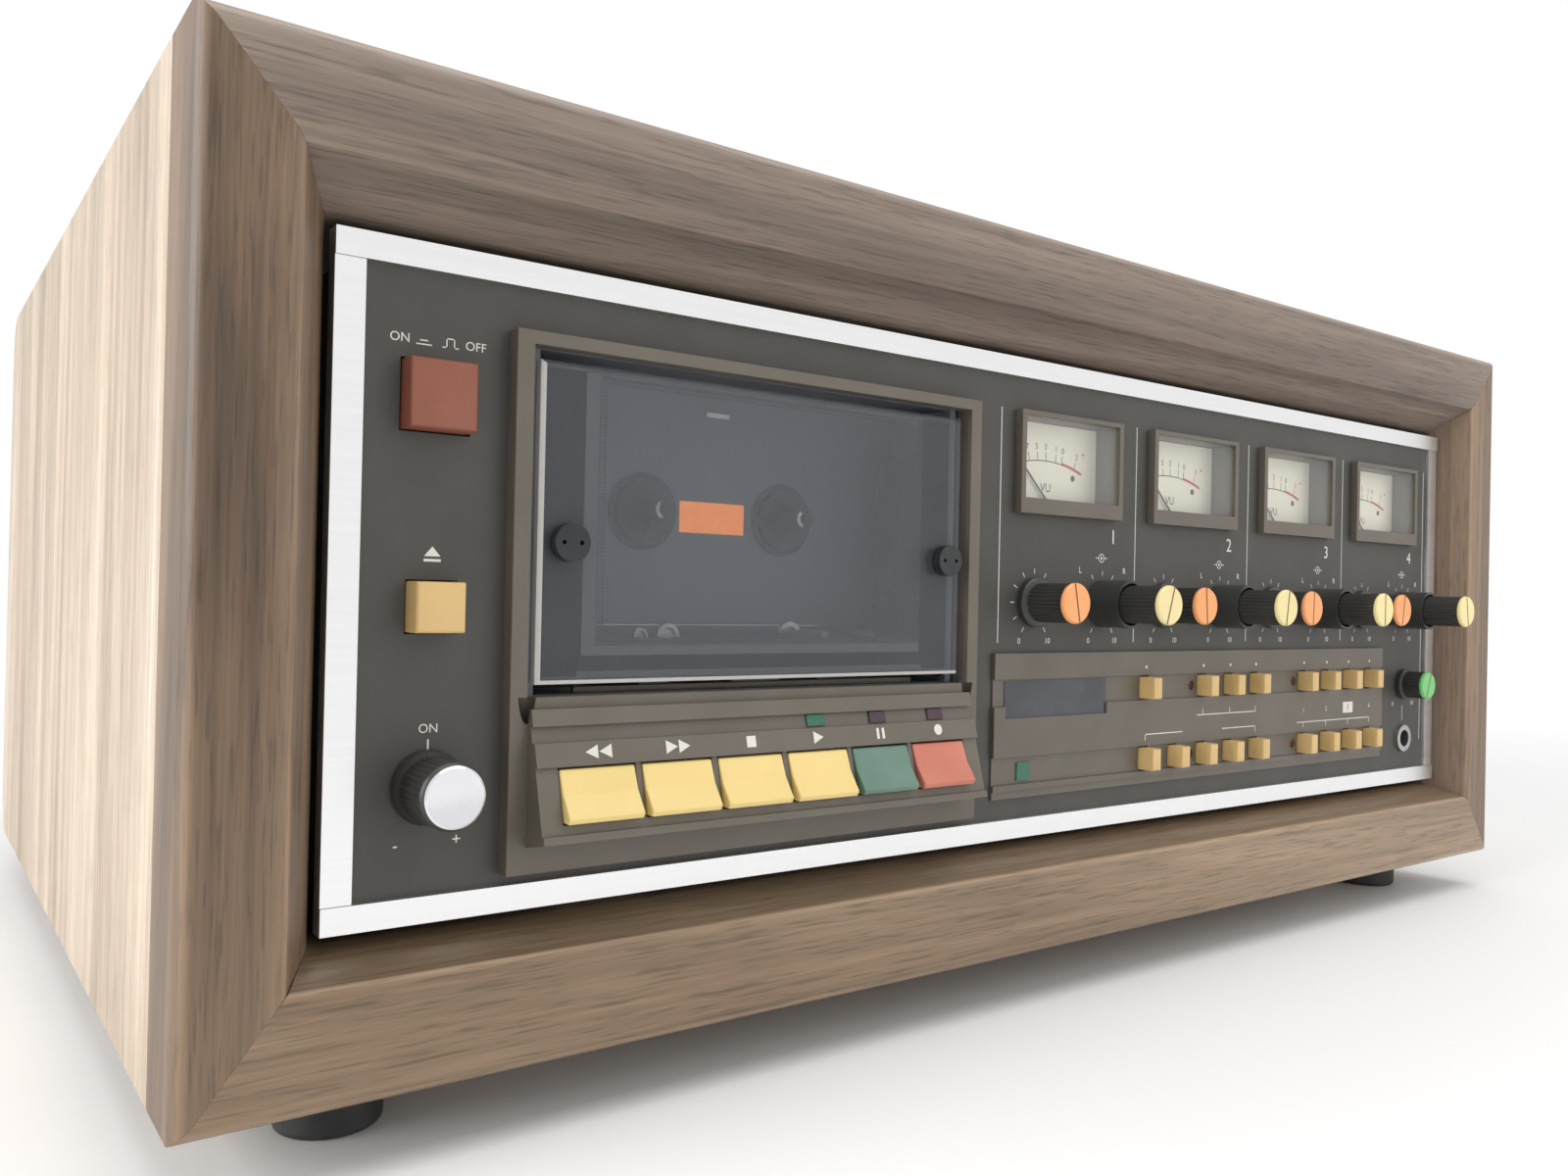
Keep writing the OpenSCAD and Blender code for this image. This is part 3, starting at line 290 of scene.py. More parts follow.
def walnut(name, dark, mid, light, upright=None, slope_shade=None, sheen=0.46):
    """Oiled walnut. upright(finish) gives 1 where the grain runs up and 0 where it runs across.
    slope_shade is a painted shade that darkens a moulding's inner face behind its bead, and the bead gets a
    painted highlight."""
    finish = Finish(name, mid, sheen)

    def laid(along, across):
        """Coordinates stretched along the grain; both are cycles to a metre."""
        level = finish.place((along, across, across))
        if upright is None:
            return level
        standing = finish.place((across, across, along), (0.012, 0.009, 0.0))
        node = finish.add("ShaderNodeMix", data_type="VECTOR")
        finish.link(upright(finish), node.inputs["Factor"])
        vectors = [socket for socket in node.inputs if socket.type == "VECTOR"]
        finish.link(level, vectors[-2])
        finish.link(standing, vectors[-1])
        return [socket for socket in node.outputs if socket.type == "VECTOR"][0]

    figure = finish.noise(laid(1.7, 24), 1, 4, 0.6, 0.9)
    cloud = finish.noise(laid(5, 17), 1, 3, 0.5)
    bands = finish.noise(laid(2.6, 170), 1, 4, 0.65, 0.3)
    fibre = finish.noise(laid(18, 1000), 1, 3, 0.6)
    pores = finish.noise(laid(75, 1700), 1, 2, 0.5)
    colour = finish.ramp(figure, [(0.3, dark), (0.48, mid), (0.68, light)])
    colour = finish.shade(colour, finish.span(finish.step(cloud, 0.3, 0.7), 0.84, 1.1))
    colour = finish.shade(colour, finish.span(finish.step(bands, 0.3, 0.62), 0.76, 1.08))
    colour = finish.shade(colour, finish.span(finish.step(fibre, 0.3, 0.7), 0.8, 1.14))
    colour = finish.shade(colour, finish.span(finish.step(pores, 0.33, 0.46), 0.68, 1.0))
    if slope_shade:
        depth = finish.axis("Y")
        front = FRONT_Y * MM
        # Painted highlight: the bead at the front edge of the moulding is made lighter.
        bead = finish.maths("MULTIPLY", finish.step(depth, front + 0.0002, front + 0.0005),
                            finish.step(depth, front + 0.0014, front + 0.0009))
        # Painted shade: the inner face behind the bead is made darker by slope_shade.
        behind = finish.step(depth, front + 0.001, front + 0.0018)
        colour = finish.shade(colour, finish.span(behind, 1.0, slope_shade))
        colour = finish.shade(colour, finish.span(bead, 1.0, 1.3))
    finish.colour(colour)
    finish.rough(finish.span(fibre, sheen - 0.08, sheen + 0.14))
    finish.bump(finish.maths("ADD", fibre, pores), 0.00008, 0.5)
    return finish.material


def side_boards(finish):
    """1 on the side boards, whose grain runs up."""
    width = finish.maths("ABSOLUTE", finish.axis("X"))
    return finish.maths("GREATER_THAN", width, (CASE_W / 2 - 18.03) * MM)


def all_upright(finish):
    return finish.maths("GREATER_THAN", 1.0, 0.5)


def split_finish(name, axis, limit, low_colour, high_colour, roughness=0.4, metallic=(0.0, 0.0)):
    """One finish below a plane across the axis, and another past it."""
    finish = Finish(name, low_colour, roughness)
    past = finish.maths("GREATER_THAN", finish.axis(axis), limit)
    cloud = finish.noise(finish.place(), 300, 3)
    low = finish.ramp(cloud, [(0.3, blend(low_colour, (0, 0, 0, 1), 0.12)), (0.7, low_colour)])
    high = finish.ramp(cloud, [(0.3, blend(high_colour, (0, 0, 0, 1), 0.12)), (0.7, high_colour)])
    finish.colour(finish.mix(past, low, high))
    finish.link(finish.span(past, *metallic), finish.shader.inputs["Metallic"])
    finish.bump(cloud, 0.00003, 0.4)
    return finish.material


BROWN = ink(98, 91, 80)
PANEL = ink(66, 64, 60)
MATTE_BLACK = ink(47, 47, 44)
WHITE_INK = ink(222, 220, 210)
KEY_YELLOW = ink(236, 208, 134)
TAN = ink(214, 180, 118)

# One walnut in four tones, partly the wood's own variation and partly painted light: the boards are lighter
# for the light on the side, and each moulding is lighter or darker for how it is lit.
wood_boards = walnut("walnut_boards", ink(140, 123, 104), ink(172, 155, 135), ink(198, 183, 163), side_boards)
wood_upper = walnut("walnut_upper", ink(100, 85, 74), ink(132, 116, 103), ink(155, 139, 126), None, 0.98)
wood_lower = walnut("walnut_lower", ink(98, 78, 59), ink(132, 109, 85), ink(151, 128, 103), None, 0.7, 0.34)
wood_stile = walnut("walnut_stiles", ink(88, 70, 55), ink(121, 99, 78), ink(142, 119, 97), all_upright, 0.88)
panel_paint = moulded("panel_paint", PANEL, 0.5, 0.00002, 0.03, 2200)
brown_plastic = moulded("brown_plastic", BROWN, 0.42, 0.00003, 0.04, 1800)
black_plastic = moulded("black_plastic", MATTE_BLACK, 0.34, 0.00001, 0.06)
rubber = moulded("black_rubber", ink(30, 30, 30), 0.65, 0.00005)
black_paint = moulded("black_paint", ink(46, 46, 46), 0.5, 0.00004)
well_plastic = moulded("well_plastic", ink(112, 118, 124), 0.5, 0.000002, 0.03)
aluminium = metal("brushed_aluminium", ink(240, 240, 240), 0.3, (0.02, 1, 1), 900, 0.06)
steel = metal("turned_steel", ink(170, 170, 170), 0.3, (1, 1, 1), 500)
cap_metal = metal("polished_cap", ink(225, 225, 228), 0.16, (1, 0.1, 1), 1500, 0.05)
print_white = moulded("white_print", WHITE_INK, 0.55, 0.00001, 0.04)
print_black = moulded("black_print", ink(38, 36, 34), 0.6, 0.00001, 0.04)
print_red = moulded("red_print", ink(196, 52, 40), 0.6, 0.00001, 0.04)
dial_card = moulded("dial_card", ink(244, 240, 220), 0.6, 0.00001, 0.05, 900)
key_yellow = moulded("yellow_key", KEY_YELLOW, 0.36, 0.00002, 0.05)
key_green = moulded("green_key", ink(96, 128, 112), 0.36, 0.00002, 0.08)
key_red = moulded("red_key", ink(199, 116, 94), 0.36, 0.00002, 0.08)
button_tan = moulded("tan_button", TAN, 0.38, 0.00002, 0.06)
power_red = moulded("power_brown", ink(136, 74, 50), 0.36, 0.00002, 0.08)
cap_orange = moulded("orange_cap", ink(246, 166, 104), 0.36, 0.00002, 0.06)
cap_cream = moulded("cream_cap", ink(238, 220, 158), 0.36, 0.00002, 0.06)
cap_green = moulded("green_cap", ink(112, 196, 112), 0.36, 0.00002, 0.06)
smoked = clear("smoked_pane", ink(112, 115, 121), 0.32, mirror=0.55)
# Painted reflection: the pale colour of the pane's left and lower edge faces stands for the light they
# reflect.
pane_edge_reflection = moulded("pane_edge_reflection", ink(226, 224, 218), 0.18, 0.000002, 0.03)
backing = moulded("glass_backing", ink(92, 92, 96), 0.5, 0.00001, 0.03)
screw_black = moulded("screw_black", ink(30, 32, 34), 0.2, 0.000004, 0.05)
bright_metal = metal("bright_metal", ink(220, 218, 210), 0.2)
# Painted shade: the head bridge's steel is made darker so the gap under the pane reads dark.
steel_darkened_for_shade = metal("steel_darkened_for_shade", ink(92, 94, 98), 0.35)
lens_clear = clear("meter_lens", ink(235, 238, 236), 0.1)
counter_tint = moulded("counter_tint", ink(58, 63, 68), 0.12, 0.000002, 0.1, 400)
lamp_green = lamp("green_lamp", ink(52, 106, 82), 0.08)
lamp_purple = lamp("purple_lamp", ink(74, 52, 64), 0.05)
lamp_dark = lamp("dark_lamp", ink(74, 34, 34), 0.05)
# Painted glow: no lamp lights the orange window behind the tape; its glow makes it bright behind the smoked
# pane.
window_painted_glow = lamp("orange_window_painted_glow", ink(250, 142, 52), 0.95)
border_print = moulded("border_print", ink(40, 42, 46), 0.6, 0.00001, 0.04)


def dress(node, material):
    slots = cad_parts[node].material_slots
    for slot in slots:
        slot.material = material


# ---- Mesh helpers ----

def new_piece(name, bm, materials, body=ROOT, flat=False):
    """Makes a mesh object at the origin, with its place in its mesh, and rides it on a body."""
    mesh = bpy.data.meshes.new(name)
    bmesh.ops.recalc_face_normals(bm, faces=bm.faces)
    bm.to_mesh(mesh)
    bm.free()
    if not isinstance(materials, (list, tuple)):
        materials = [materials]
    for material in materials:
        mesh.materials.append(material)
    if not flat:
        mesh.shade_smooth()
        mesh.set_sharp_from_angle(angle=math.radians(32))
    piece = bpy.data.objects.new(name, mesh)
    bpy.context.scene.collection.objects.link(piece)
    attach(piece, body)
    return piece


def bevel_edges(bm, width, segments=2, angle=30, edges=None):
    if edges is None:
        edges = [e for e in bm.edges if e.is_manifold and e.calc_face_angle() > math.radians(angle)]
    bmesh.ops.bevel(bm, geom=edges, offset=width, offset_type="OFFSET", segments=segments,
                    profile=0.5, affect="EDGES", material=-1, clamp_overlap=True)


def add_box(bm, low, high, material_index=0):
    """A block between two corners given in faceplate millimetres."""
    low, high = at(*low), at(*high)
    centre = (low + high) / 2
    size = high - low
    made = bmesh.ops.create_cube(bm, size=1, matrix=Matrix.Translation(centre) @ Matrix.Diagonal((*size, 1)))
    faces = {face for vert in made["verts"] for face in vert.link_faces}
    for face in faces:
        face.material_index = material_index
    return made["verts"]


def add_prism(bm, outline, x0, x1, material_index=0):
    """A side view of y and z points, as a block from x0 to x1."""
    verts = [bm.verts.new(at(x0, y, z)) for y, z in outline]
    face = bm.faces.new(verts)
    grown = bmesh.ops.extrude_face_region(bm, geom=[face])["geom"]
    moved = [item for item in grown if isinstance(item, bmesh.types.BMVert)]
    bmesh.ops.translate(bm, verts=moved, vec=((x1 - x0) * MM, 0, 0))
    for face in {face for vert in verts + moved for face in vert.link_faces}:
        face.material_index = material_index


def add_lathe(bm, x, z, profile, steps=48, material_index=0):
    """Turns a profile of radius and y points round an axis through the faceplate at x, z."""
    verts = [bm.verts.new(at(x + radius, y, z)) for radius, y in profile]
    edges = [bm.edges.new(pair) for pair in zip(verts, verts[1:])]
    before = set(bm.faces)
    bmesh.ops.spin(bm, geom=verts + edges, cent=at(x, 0, z), axis=(0, 1, 0), angle=math.tau,
                   steps=steps, use_merge=True, use_duplicate=False)
    bmesh.ops.remove_doubles(bm, verts=bm.verts, dist=1e-7)
    for face in set(bm.faces) - before:
        face.material_index = material_index


def add_fluted(bm, x, z, radius, front, back, flutes=30, depth=0.35, material_index=0):
    """A fluted cylinder along y, open at its ends."""
    ring = bmesh.ops.create_circle(bm, segments=flutes * 4, radius=radius * MM, matrix=facing(x, front, z)
                                   @ Matrix.Scale(1 / MM, 4))["verts"]
    centre = at(x, front, z)
    for vert in ring:
        arm = vert.co - centre
        angle = math.atan2(arm.z, arm.x)
        dip = (0.5 - 0.5 * math.cos(flutes * angle)) ** 2
        vert.co = centre + arm * (1 - depth / radius * dip)
    edges = list({edge for vert in ring for edge in vert.link_edges})
    grown = bmesh.ops.extrude_edge_only(bm, edges=edges)["geom"]
    moved = [item for item in grown if isinstance(item, bmesh.types.BMVert)]
    bmesh.ops.translate(bm, verts=moved, vec=(0, (back - front) * MM, 0))
    for face in {face for vert in moved for face in vert.link_faces}:
        face.material_index = material_index


def add_flat(bm, points, y, material_index=0):
    """A flat face through x and z points on the plane y."""
    verts = [bm.verts.new(at(px, y, pz)) for px, pz in points]
    face = bm.faces.new(verts)
    face.material_index = material_index
    return face


def add_line(bm, start, end, y, width=0.35, material_index=0):
    """A printed line between two x, z points."""
    direction = Vector((end[0] - start[0], end[1] - start[1])).normalized()
    side = Vector((-direction.y, direction.x)) * width / 2
    run = direction * width / 2
    a, b = Vector(start) - run, Vector(end) + run
    add_flat(bm, [a + side, a - side, b - side, b + side], y, material_index=material_index)


def add_dot(bm, x, z, radius, y, steps=24, material_index=0):
    add_flat(bm, [(x + radius * math.cos(k * math.tau / steps), z + radius * math.sin(k * math.tau / steps))
                  for k in range(steps)], y, material_index=material_index)


def add_arc(bm, x, z, radius, start, end, y, width=0.3, steps=24, material_index=0):
    """A printed arc about x, z; angles in degrees clockwise from straight up."""
    def rim(r, angle):
        return (x + r * math.sin(math.radians(angle)), z + r * math.cos(math.radians(angle)))
    angles = [start + (end - start) * k / steps for k in range(steps + 1)]
    for a, b in zip(angles, angles[1:]):
        add_flat(bm, [rim(radius - width / 2, a), rim(radius - width / 2, b),
                      rim(radius + width / 2, b), rim(radius + width / 2, a)], y,
                 material_index=material_index)


def add_words(bm, words, matrix, size, align="CENTER", material_index=0):
    """Plain figures and letters, set by the built-in face, as a flat mesh."""
    curve = bpy.data.curves.new("figures", "FONT")
    curve.body = words
    curve.size = size
    curve.align_x = align
    curve.align_y = "CENTER"
    curve.resolution_u = 4
    holder = bpy.data.objects.new("figures", curve)
    bpy.context.scene.collection.objects.link(holder)
    bpy.context.view_layer.update()
    flat = bpy.data.meshes.new_from_object(holder)
    flat.transform(matrix)
    before = set(bm.faces)
    bm.from_mesh(flat)
    for face in set(bm.faces) - before:
        face.material_index = material_index
    bpy.data.objects.remove(holder)
    bpy.data.curves.remove(curve)
    bpy.data.meshes.remove(flat)


# ---- Wooden case ----

SLOPE = 13.7
MOULDING_T = (frame_high[1] - frame_low[1]) / MM
ROUND = 3.5
FLAT = {"side": 18.1, "top": 20.6, "bottom": 22.6}
OPENING = {"side": (CASE_W - FACE_W) / 2 - 1.1,
           "top": FOOT_H + CASE_H - FACE_Z - FACE_H / 2 - 2.4,
           "bottom": FACE_Z - FACE_H / 2 - 2.4 - FOOT_H}


def moulding_outline(kind):
    """A moulding's cross-section: depth from the front, and width in from its outer edge."""
    flat, width = FLAT[kind], OPENING[kind]
    points = [(ROUND - ROUND * math.cos(a), ROUND - ROUND * math.sin(a))
              for a in [math.radians(90 - 15 * k) for k in range(7)]]
    soft = 1.4
    points += [(0, flat - soft), (0.18, flat - soft * 0.35), (0.55, flat + soft * 0.25),
               (1.3, flat + soft * 0.62)]
    points += [(SLOPE - 1.6, width - 1.6 * (width - flat) / SLOPE), (SLOPE - 0.3, width - 0.25),
               (SLOPE + 0.6, width)]
    points += [(MOULDING_T, width), (MOULDING_T, 0)]
    return points


def moulding(name, kind, start, end, length, place, material):
    """A moulding whose ends follow the mitres with the kinds at its start and its end."""
    outline = moulding_outline(kind)
    mitre_at = [0, ROUND, FLAT[kind], OPENING[kind]]

    def run_in(width, other):
        marks = [0, ROUND, FLAT[other], OPENING[other]]
        for k in range(3):
            if width <= mitre_at[k + 1] or k == 2:
                share = (width - mitre_at[k]) / (mitre_at[k + 1] - mitre_at[k])
                return marks[k] + share * (marks[k + 1] - marks[k])

    bm = bmesh.new()
    near = [bm.verts.new((-length / 2 + run_in(w, start) + 0.03, depth, w)) for depth, w in outline]
    face = bm.faces.new(near)
    grown = bmesh.ops.extrude_face_region(bm, geom=[face])["geom"]
    for vert in [item for item in grown if isinstance(item, bmesh.types.BMVert)]:
        vert.co.x = length / 2 - run_in(vert.co.z, end) - 0.03
    bmesh.ops.transform(bm, matrix=place, verts=bm.verts)
    return new_piece(name, bm, material)


def build_mouldings():
    centre = Matrix.Translation(Vector((0, FRONT_Y, FOOT_H + CASE_H / 2)) * MM) @ Matrix.Scale(MM, 4)

    def turned(angle, shift):
        return centre @ Matrix.Translation(shift) @ Matrix.Rotation(math.radians(angle), 4, "Y")

    half_w, half_h = CASE_W / 2, CASE_H / 2
    pieces = [
        moulding("lower_moulding", "bottom", "side", "side", CASE_W, turned(0, (0, 0, -half_h)), wood_lower),
        moulding("upper_moulding", "top", "side", "side", CASE_W, turned(180, (0, 0, half_h)), wood_upper),
        moulding("left_moulding", "side", "top", "bottom", CASE_H, turned(90, (-half_w, 0, 0)), wood_stile),
        moulding("right_moulding", "side", "bottom", "top", CASE_H, turned(-90, (half_w, 0, 0)), wood_stile),
    ]
    for piece in pieces:
        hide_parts("front_frame")


# ---- Knobs, keys and buttons ----

def build_knob(node, x, z, radius, skirt, cap, slot_angle, cap_lift=1.2, slotted=True):
    """A fluted knob with a coloured cap and, where it has one, a skirt next to the panel."""
    low, high = panel_place(node)
    front = low.y
    bm = bmesh.new()
    body_back = PANEL_Y - 0.3 if skirt else PANEL_Y - 9.5
    add_fluted(bm, x, z, radius, front + cap_lift, body_back, material_index=0)
    if skirt:
        add_lathe(bm, x, z, [(radius - 0.4, body_back - 2.4), (skirt - 0.5, body_back - 2.0),
                             (skirt, body_back - 1.5), (skirt, body_back), (radius - 1, body_back)])
    add_lathe(bm, x, z, [(radius - 0.5, front + cap_lift + 0.6), (radius + 0.1, front + cap_lift),
                         (radius + 0.1, front + 0.5), (radius - 0.3, front), (radius - 0.9, front),
                         (0.0, front)], material_index=1)
    if slotted:
        direction = Vector((math.sin(slot_angle), math.cos(slot_angle))) * (radius - 0.15)
        add_line(bm, Vector((x, z)) - direction, Vector((x, z)) + direction, front - PRINT_LIFT, 0.55,
                 material_index=2)
    piece = new_piece(node + "_body", bm, [black_plastic, cap, slot_line_dark], node)
    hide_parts(node)


# A flat dark line drawn along the slot in each knob's cap.
slot_line_dark = moulded("cap_line", ink(120, 84, 52), 0.5, 0.00001, 0.04)


def build_channel_knobs():
    for i in range(CHANNELS):
        build_knob(f"input_knob_{i + 1}", INPUT_X[i], KNOB_Z, 5.6, 7.1, cap_orange, 0.12 * i - 0.2)
        build_knob(f"output_knob_{i + 1}", OUTPUT_X[i], KNOB_Z, 5.6, None, cap_cream, 0.3 - 0.15 * i)
        dress(f"pan_ring_{i + 1}", black_plastic)
    build_knob("phones_knob", PHONES_X, middle("phones_knob").z, 5.1, 5.8, cap_green, 0.35)


def build_pitch_knob():
    low, high = panel_place("pitch_knob")
    x, z, front = LEFT_X, middle("pitch_knob").z, low.y
    bm = bmesh.new()
    add_fluted(bm, x, z, 6.7, front + 1.4, PANEL_Y - 1.6, 36, 0.3)
    add_lathe(bm, x, z, [(6.4, PANEL_Y - 3.3), (7.1, PANEL_Y - 2.2), (7.6, PANEL_Y - 1.2),
                         (7.6, PANEL_Y - 0.3), (5.0, PANEL_Y - 0.3)])
    add_lathe(bm, x, z, [(6.5, front + 1.9), (6.72, front + 1.4), (6.3, front + 0.7), (6.0, front + 0.5)])
    add_lathe(bm, x, z, [(6.1, front + 0.9), (6.1, front + 0.3), (5.7, front + 0.02), (5.0, front + 0.25),
                         (0.0, front + 0.3)], material_index=1)
    piece = new_piece("pitch_knob_body", bm, [black_plastic, cap_metal], "pitch_knob")
    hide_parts("pitch_knob")
    dress("pitch_sleeve", steel)


def build_keys():
    tints = [key_yellow] * 4 + [key_green, key_red]
    for key, x, tint in zip(KEYS, KEY_X, tints):
        low, high = panel_place(key)
        crease = (low.z + high.z) / 2 + 0.4
        outline = [(high.y, high.z), (-6.9, high.z), (-8.9, crease), (low.y, low.z + 1.2),
                   (low.y + 0.7, low.z), (high.y, low.z)]
        bm = bmesh.new()
        add_prism(bm, outline, low.x, high.x)
        bevel_edges(bm, 0.3 * MM, 2, 10)
        piece = new_piece(key + "_cap", bm, tint, key, flat=True)
        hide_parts(key)


def build_buttons():
    for node, material, bevel in (("power_button", power_red, 0.7), ("eject_button", button_tan, 0.6)):
        low, high = panel_place(node)
        bm = bmesh.new()
        add_box(bm, low, high)
        front = [e for e in bm.edges if all(abs(v.co.y - at(*low).y) < 1e-6 for v in e.verts)]
        bevel_edges(bm, bevel * MM, 3, edges=front)
        sides = [e for e in bm.edges if e.calc_face_angle() > math.radians(60)]
        bevel_edges(bm, 0.3 * MM, 2, edges=sides)
        piece = new_piece(node + "_cap", bm, material, node)
        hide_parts(node)
    for node in UPPER + LOWER:
        low, high = panel_place(node)
        bm = bmesh.new()
        add_box(bm, low, high)
        front = [e for e in bm.edges if all(abs(v.co.y - at(*low).y) < 1e-6 for v in e.verts)]
        bevel_edges(bm, 0.35 * MM, 2, edges=front)
        piece = new_piece(node + "_cap", bm, button_tan, node)
        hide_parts(node)


# ---- Windows, dials and lamps ----

def build_windows():
    lens_low_z = METER_BOTTOM + 4.4
    lens_high_z = METER_TOP - 1.3
    bm = bmesh.new()
    for x in METER_X:
        add_box(bm, (x - METER_W / 2 + 1.8, PANEL_Y - 1.5, lens_low_z),
                (x + METER_W / 2 - 1.8, PANEL_Y - 0.5, lens_high_z))
    lenses = new_piece("meter_lenses", bm, lens_clear, flat=True)
    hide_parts("windows")

    bm = bmesh.new()
    add_box(bm, (COUNTER_LEFT + 4.5, COUNTER_FRONT + 0.6, -34.2),
            (COUNTER_LEFT + 48.5, COUNTER_FRONT + 1.6, -23.7))
    new_piece("counter_window", bm, counter_tint, flat=True)

    bm = bmesh.new()
    add_box(bm, (COUNTER_LEFT + 10, COUNTER_FRONT + 0.4, -52),
            (COUNTER_LEFT + 15.2, COUNTER_FRONT + 1.6, -46.8))
    new_piece("green_panel_lamp", bm, lamp_green, flat=True)

    bm = bmesh.new()
    for node in ("upper_button_2", "upper_button_5", "lower_button_3", "lower_button_6"):
        place = middle(node)
        front = COUNTER_FRONT + 0.8 - 0.3
        outline = [(1.4, front + 1.5), (1.4, front + 0.4), (1.1, front), (0, front - 0.1)]
        add_lathe(bm, place.x - 5.4, place.z, outline, 20)
    new_piece("small_lamps", bm, lamp_dark)

    for i, tint in ((3, lamp_green), (4, lamp_purple), (5, lamp_purple)):
        bm = bmesh.new()
        outline = [(-4.35, -29.6), (-5.15, -32.4), (-4.69, -32.4), (-3.89, -29.6)]
        add_prism(bm, outline, KEY_X[i] - 1.9, KEY_X[i] + 3.5)
        bevel_edges(bm, 0.12 * MM, 1)
        new_piece(KEYS[i] + "_lamp", bm, tint)

    # The orange window below carries a painted glow.
    bm = bmesh.new()
    add_box(bm, (TRANSPORT_X - 10.5, DECK_Y - 0.4, 14.6), (TRANSPORT_X + 9, DECK_Y - 0.02, 22.5))
    new_piece("tape_window", bm, window_painted_glow, flat=True)


SCALE_MARKS = [(-14.5, "20"), (-12.3, "10"), (-9.4, "7"), (-5.8, "5"),
               (-2.2, "3"), (2.0, "1"), (4.7, "0"), (10.3, "3")]
SCALE_R = 44
SCALE_X = -2.8
SCALE_Z = -29.8


def build_dials():
    """The meters' dial cards: a flat arc, its figures and the small lamp."""
    for i, x in enumerate(METER_X):
        bm = bmesh.new()
        add_box(bm, (x - METER_W / 2 + 1.9, DIAL_Y - 0.4, METER_BOTTOM + 1.6),
                (x + METER_W / 2 - 1.9, DIAL_Y - 0.02, METER_TOP - 1.5))
        y = DIAL_Y - 0.4 - PRINT_LIFT
        centre_x, centre_z = x + SCALE_X, NEEDLE_Z + SCALE_Z

        def turn(offset):
            return math.degrees(math.asin((offset - SCALE_X) / SCALE_R))

        add_arc(bm, centre_x, centre_z, SCALE_R, turn(-15.5), turn(4.7), y, 0.3, material_index=1)
        add_arc(bm, centre_x, centre_z, SCALE_R + 0.25, turn(4.7), turn(13.6), y, 0.8, material_index=2)
        for offset, figure in SCALE_MARKS:
            tint = 2 if offset > 5 else 1
            foot = centre_z + SCALE_R * math.cos(math.radians(turn(offset)))
            lean = offset * 0.06
            add_line(bm, (x + offset, foot), (x + offset + lean, foot + 2.4), y, 0.26, tint)
            add_words(bm, figure, facing(x + offset + lean * 1.8, y, foot + 4.1), 2.6, material_index=tint)
        add_words(bm, "+", facing(x + 14.4, y, NEEDLE_Z + 17.2), 2.6, material_index=2)
        add_words(bm, "VU", facing(x - 2.3, y, NEEDLE_Z + 6.1), 3.6, material_index=1)
        add_dot(bm, x + 9.8, NEEDLE_Z + 9.8, 0.95, y, material_index=3)
        card = [dial_card, print_black, print_red, lamp_dark]
        new_piece(f"dial_{i + 1}", bm, card, flat=True)
        dress(f"needle_{i + 1}", black_plastic)


# ---- Printing ----

def add_triangle(bm, x, z, size, way, matrix, material_index=0):
    points = [(-way * size * 0.5, size * 0.5), (-way * size * 0.5, -size * 0.5), (way * size * 0.5, 0)]
    verts = [bm.verts.new(matrix @ Vector((x + px, z + pz, 0))) for px, pz in points]
    bm.faces.new(verts).material_index = material_index


def add_patch(bm, low, high, matrix, material_index=0):
    corners = [(low[0], low[1]), (high[0], low[1]), (high[0], high[1]), (low[0], high[1])]
    verts = [bm.verts.new(matrix @ Vector((px, pz, 0))) for px, pz in corners]
    bm.faces.new(verts).material_index = material_index


def build_key_print():
    """The signs on the bar above the keys: wind, stop, play, pause and record."""
    bm = bmesh.new()
    lean = -math.atan2(1.2, 4.9)
    sign_z = -34.9
    sign_y = -6 - (sign_z + 32.7) / -4.9 * 1.2 - 0.06
    size = 3.0
    for x, kind in zip(KEY_X, ("rewind", "forward", "stop", "play", "pause", "record")):
        matrix = facing(x + 0.3, sign_y, sign_z, lean)
        if kind == "rewind":
            add_triangle(bm, -1.65, 0, size, -1, matrix)
            add_triangle(bm, 1.65, 0, size, -1, matrix)
        elif kind == "forward":
            add_triangle(bm, -1.65, 0, size, 1, matrix)
            add_triangle(bm, 1.65, 0, size, 1, matrix)
        elif kind == "stop":
            add_patch(bm, (-1.3, -1.3), (1.3, 1.3), matrix)
        elif kind == "play":
            add_triangle(bm, 0, 0, size, 1, matrix)
        elif kind == "pause":
            add_patch(bm, (-1.3, -1.35), (-0.45, 1.35), matrix)
            add_patch(bm, (0.45, -1.35), (1.3, 1.35), matrix)
        else:
            verts = [bm.verts.new(matrix @ Vector((1.4 * math.cos(k * math.tau / 24),
                                                   1.4 * math.sin(k * math.tau / 24), 0))) for k in range(24)]
            bm.faces.new(verts)
    new_piece("key_signs", bm, print_white, flat=True)


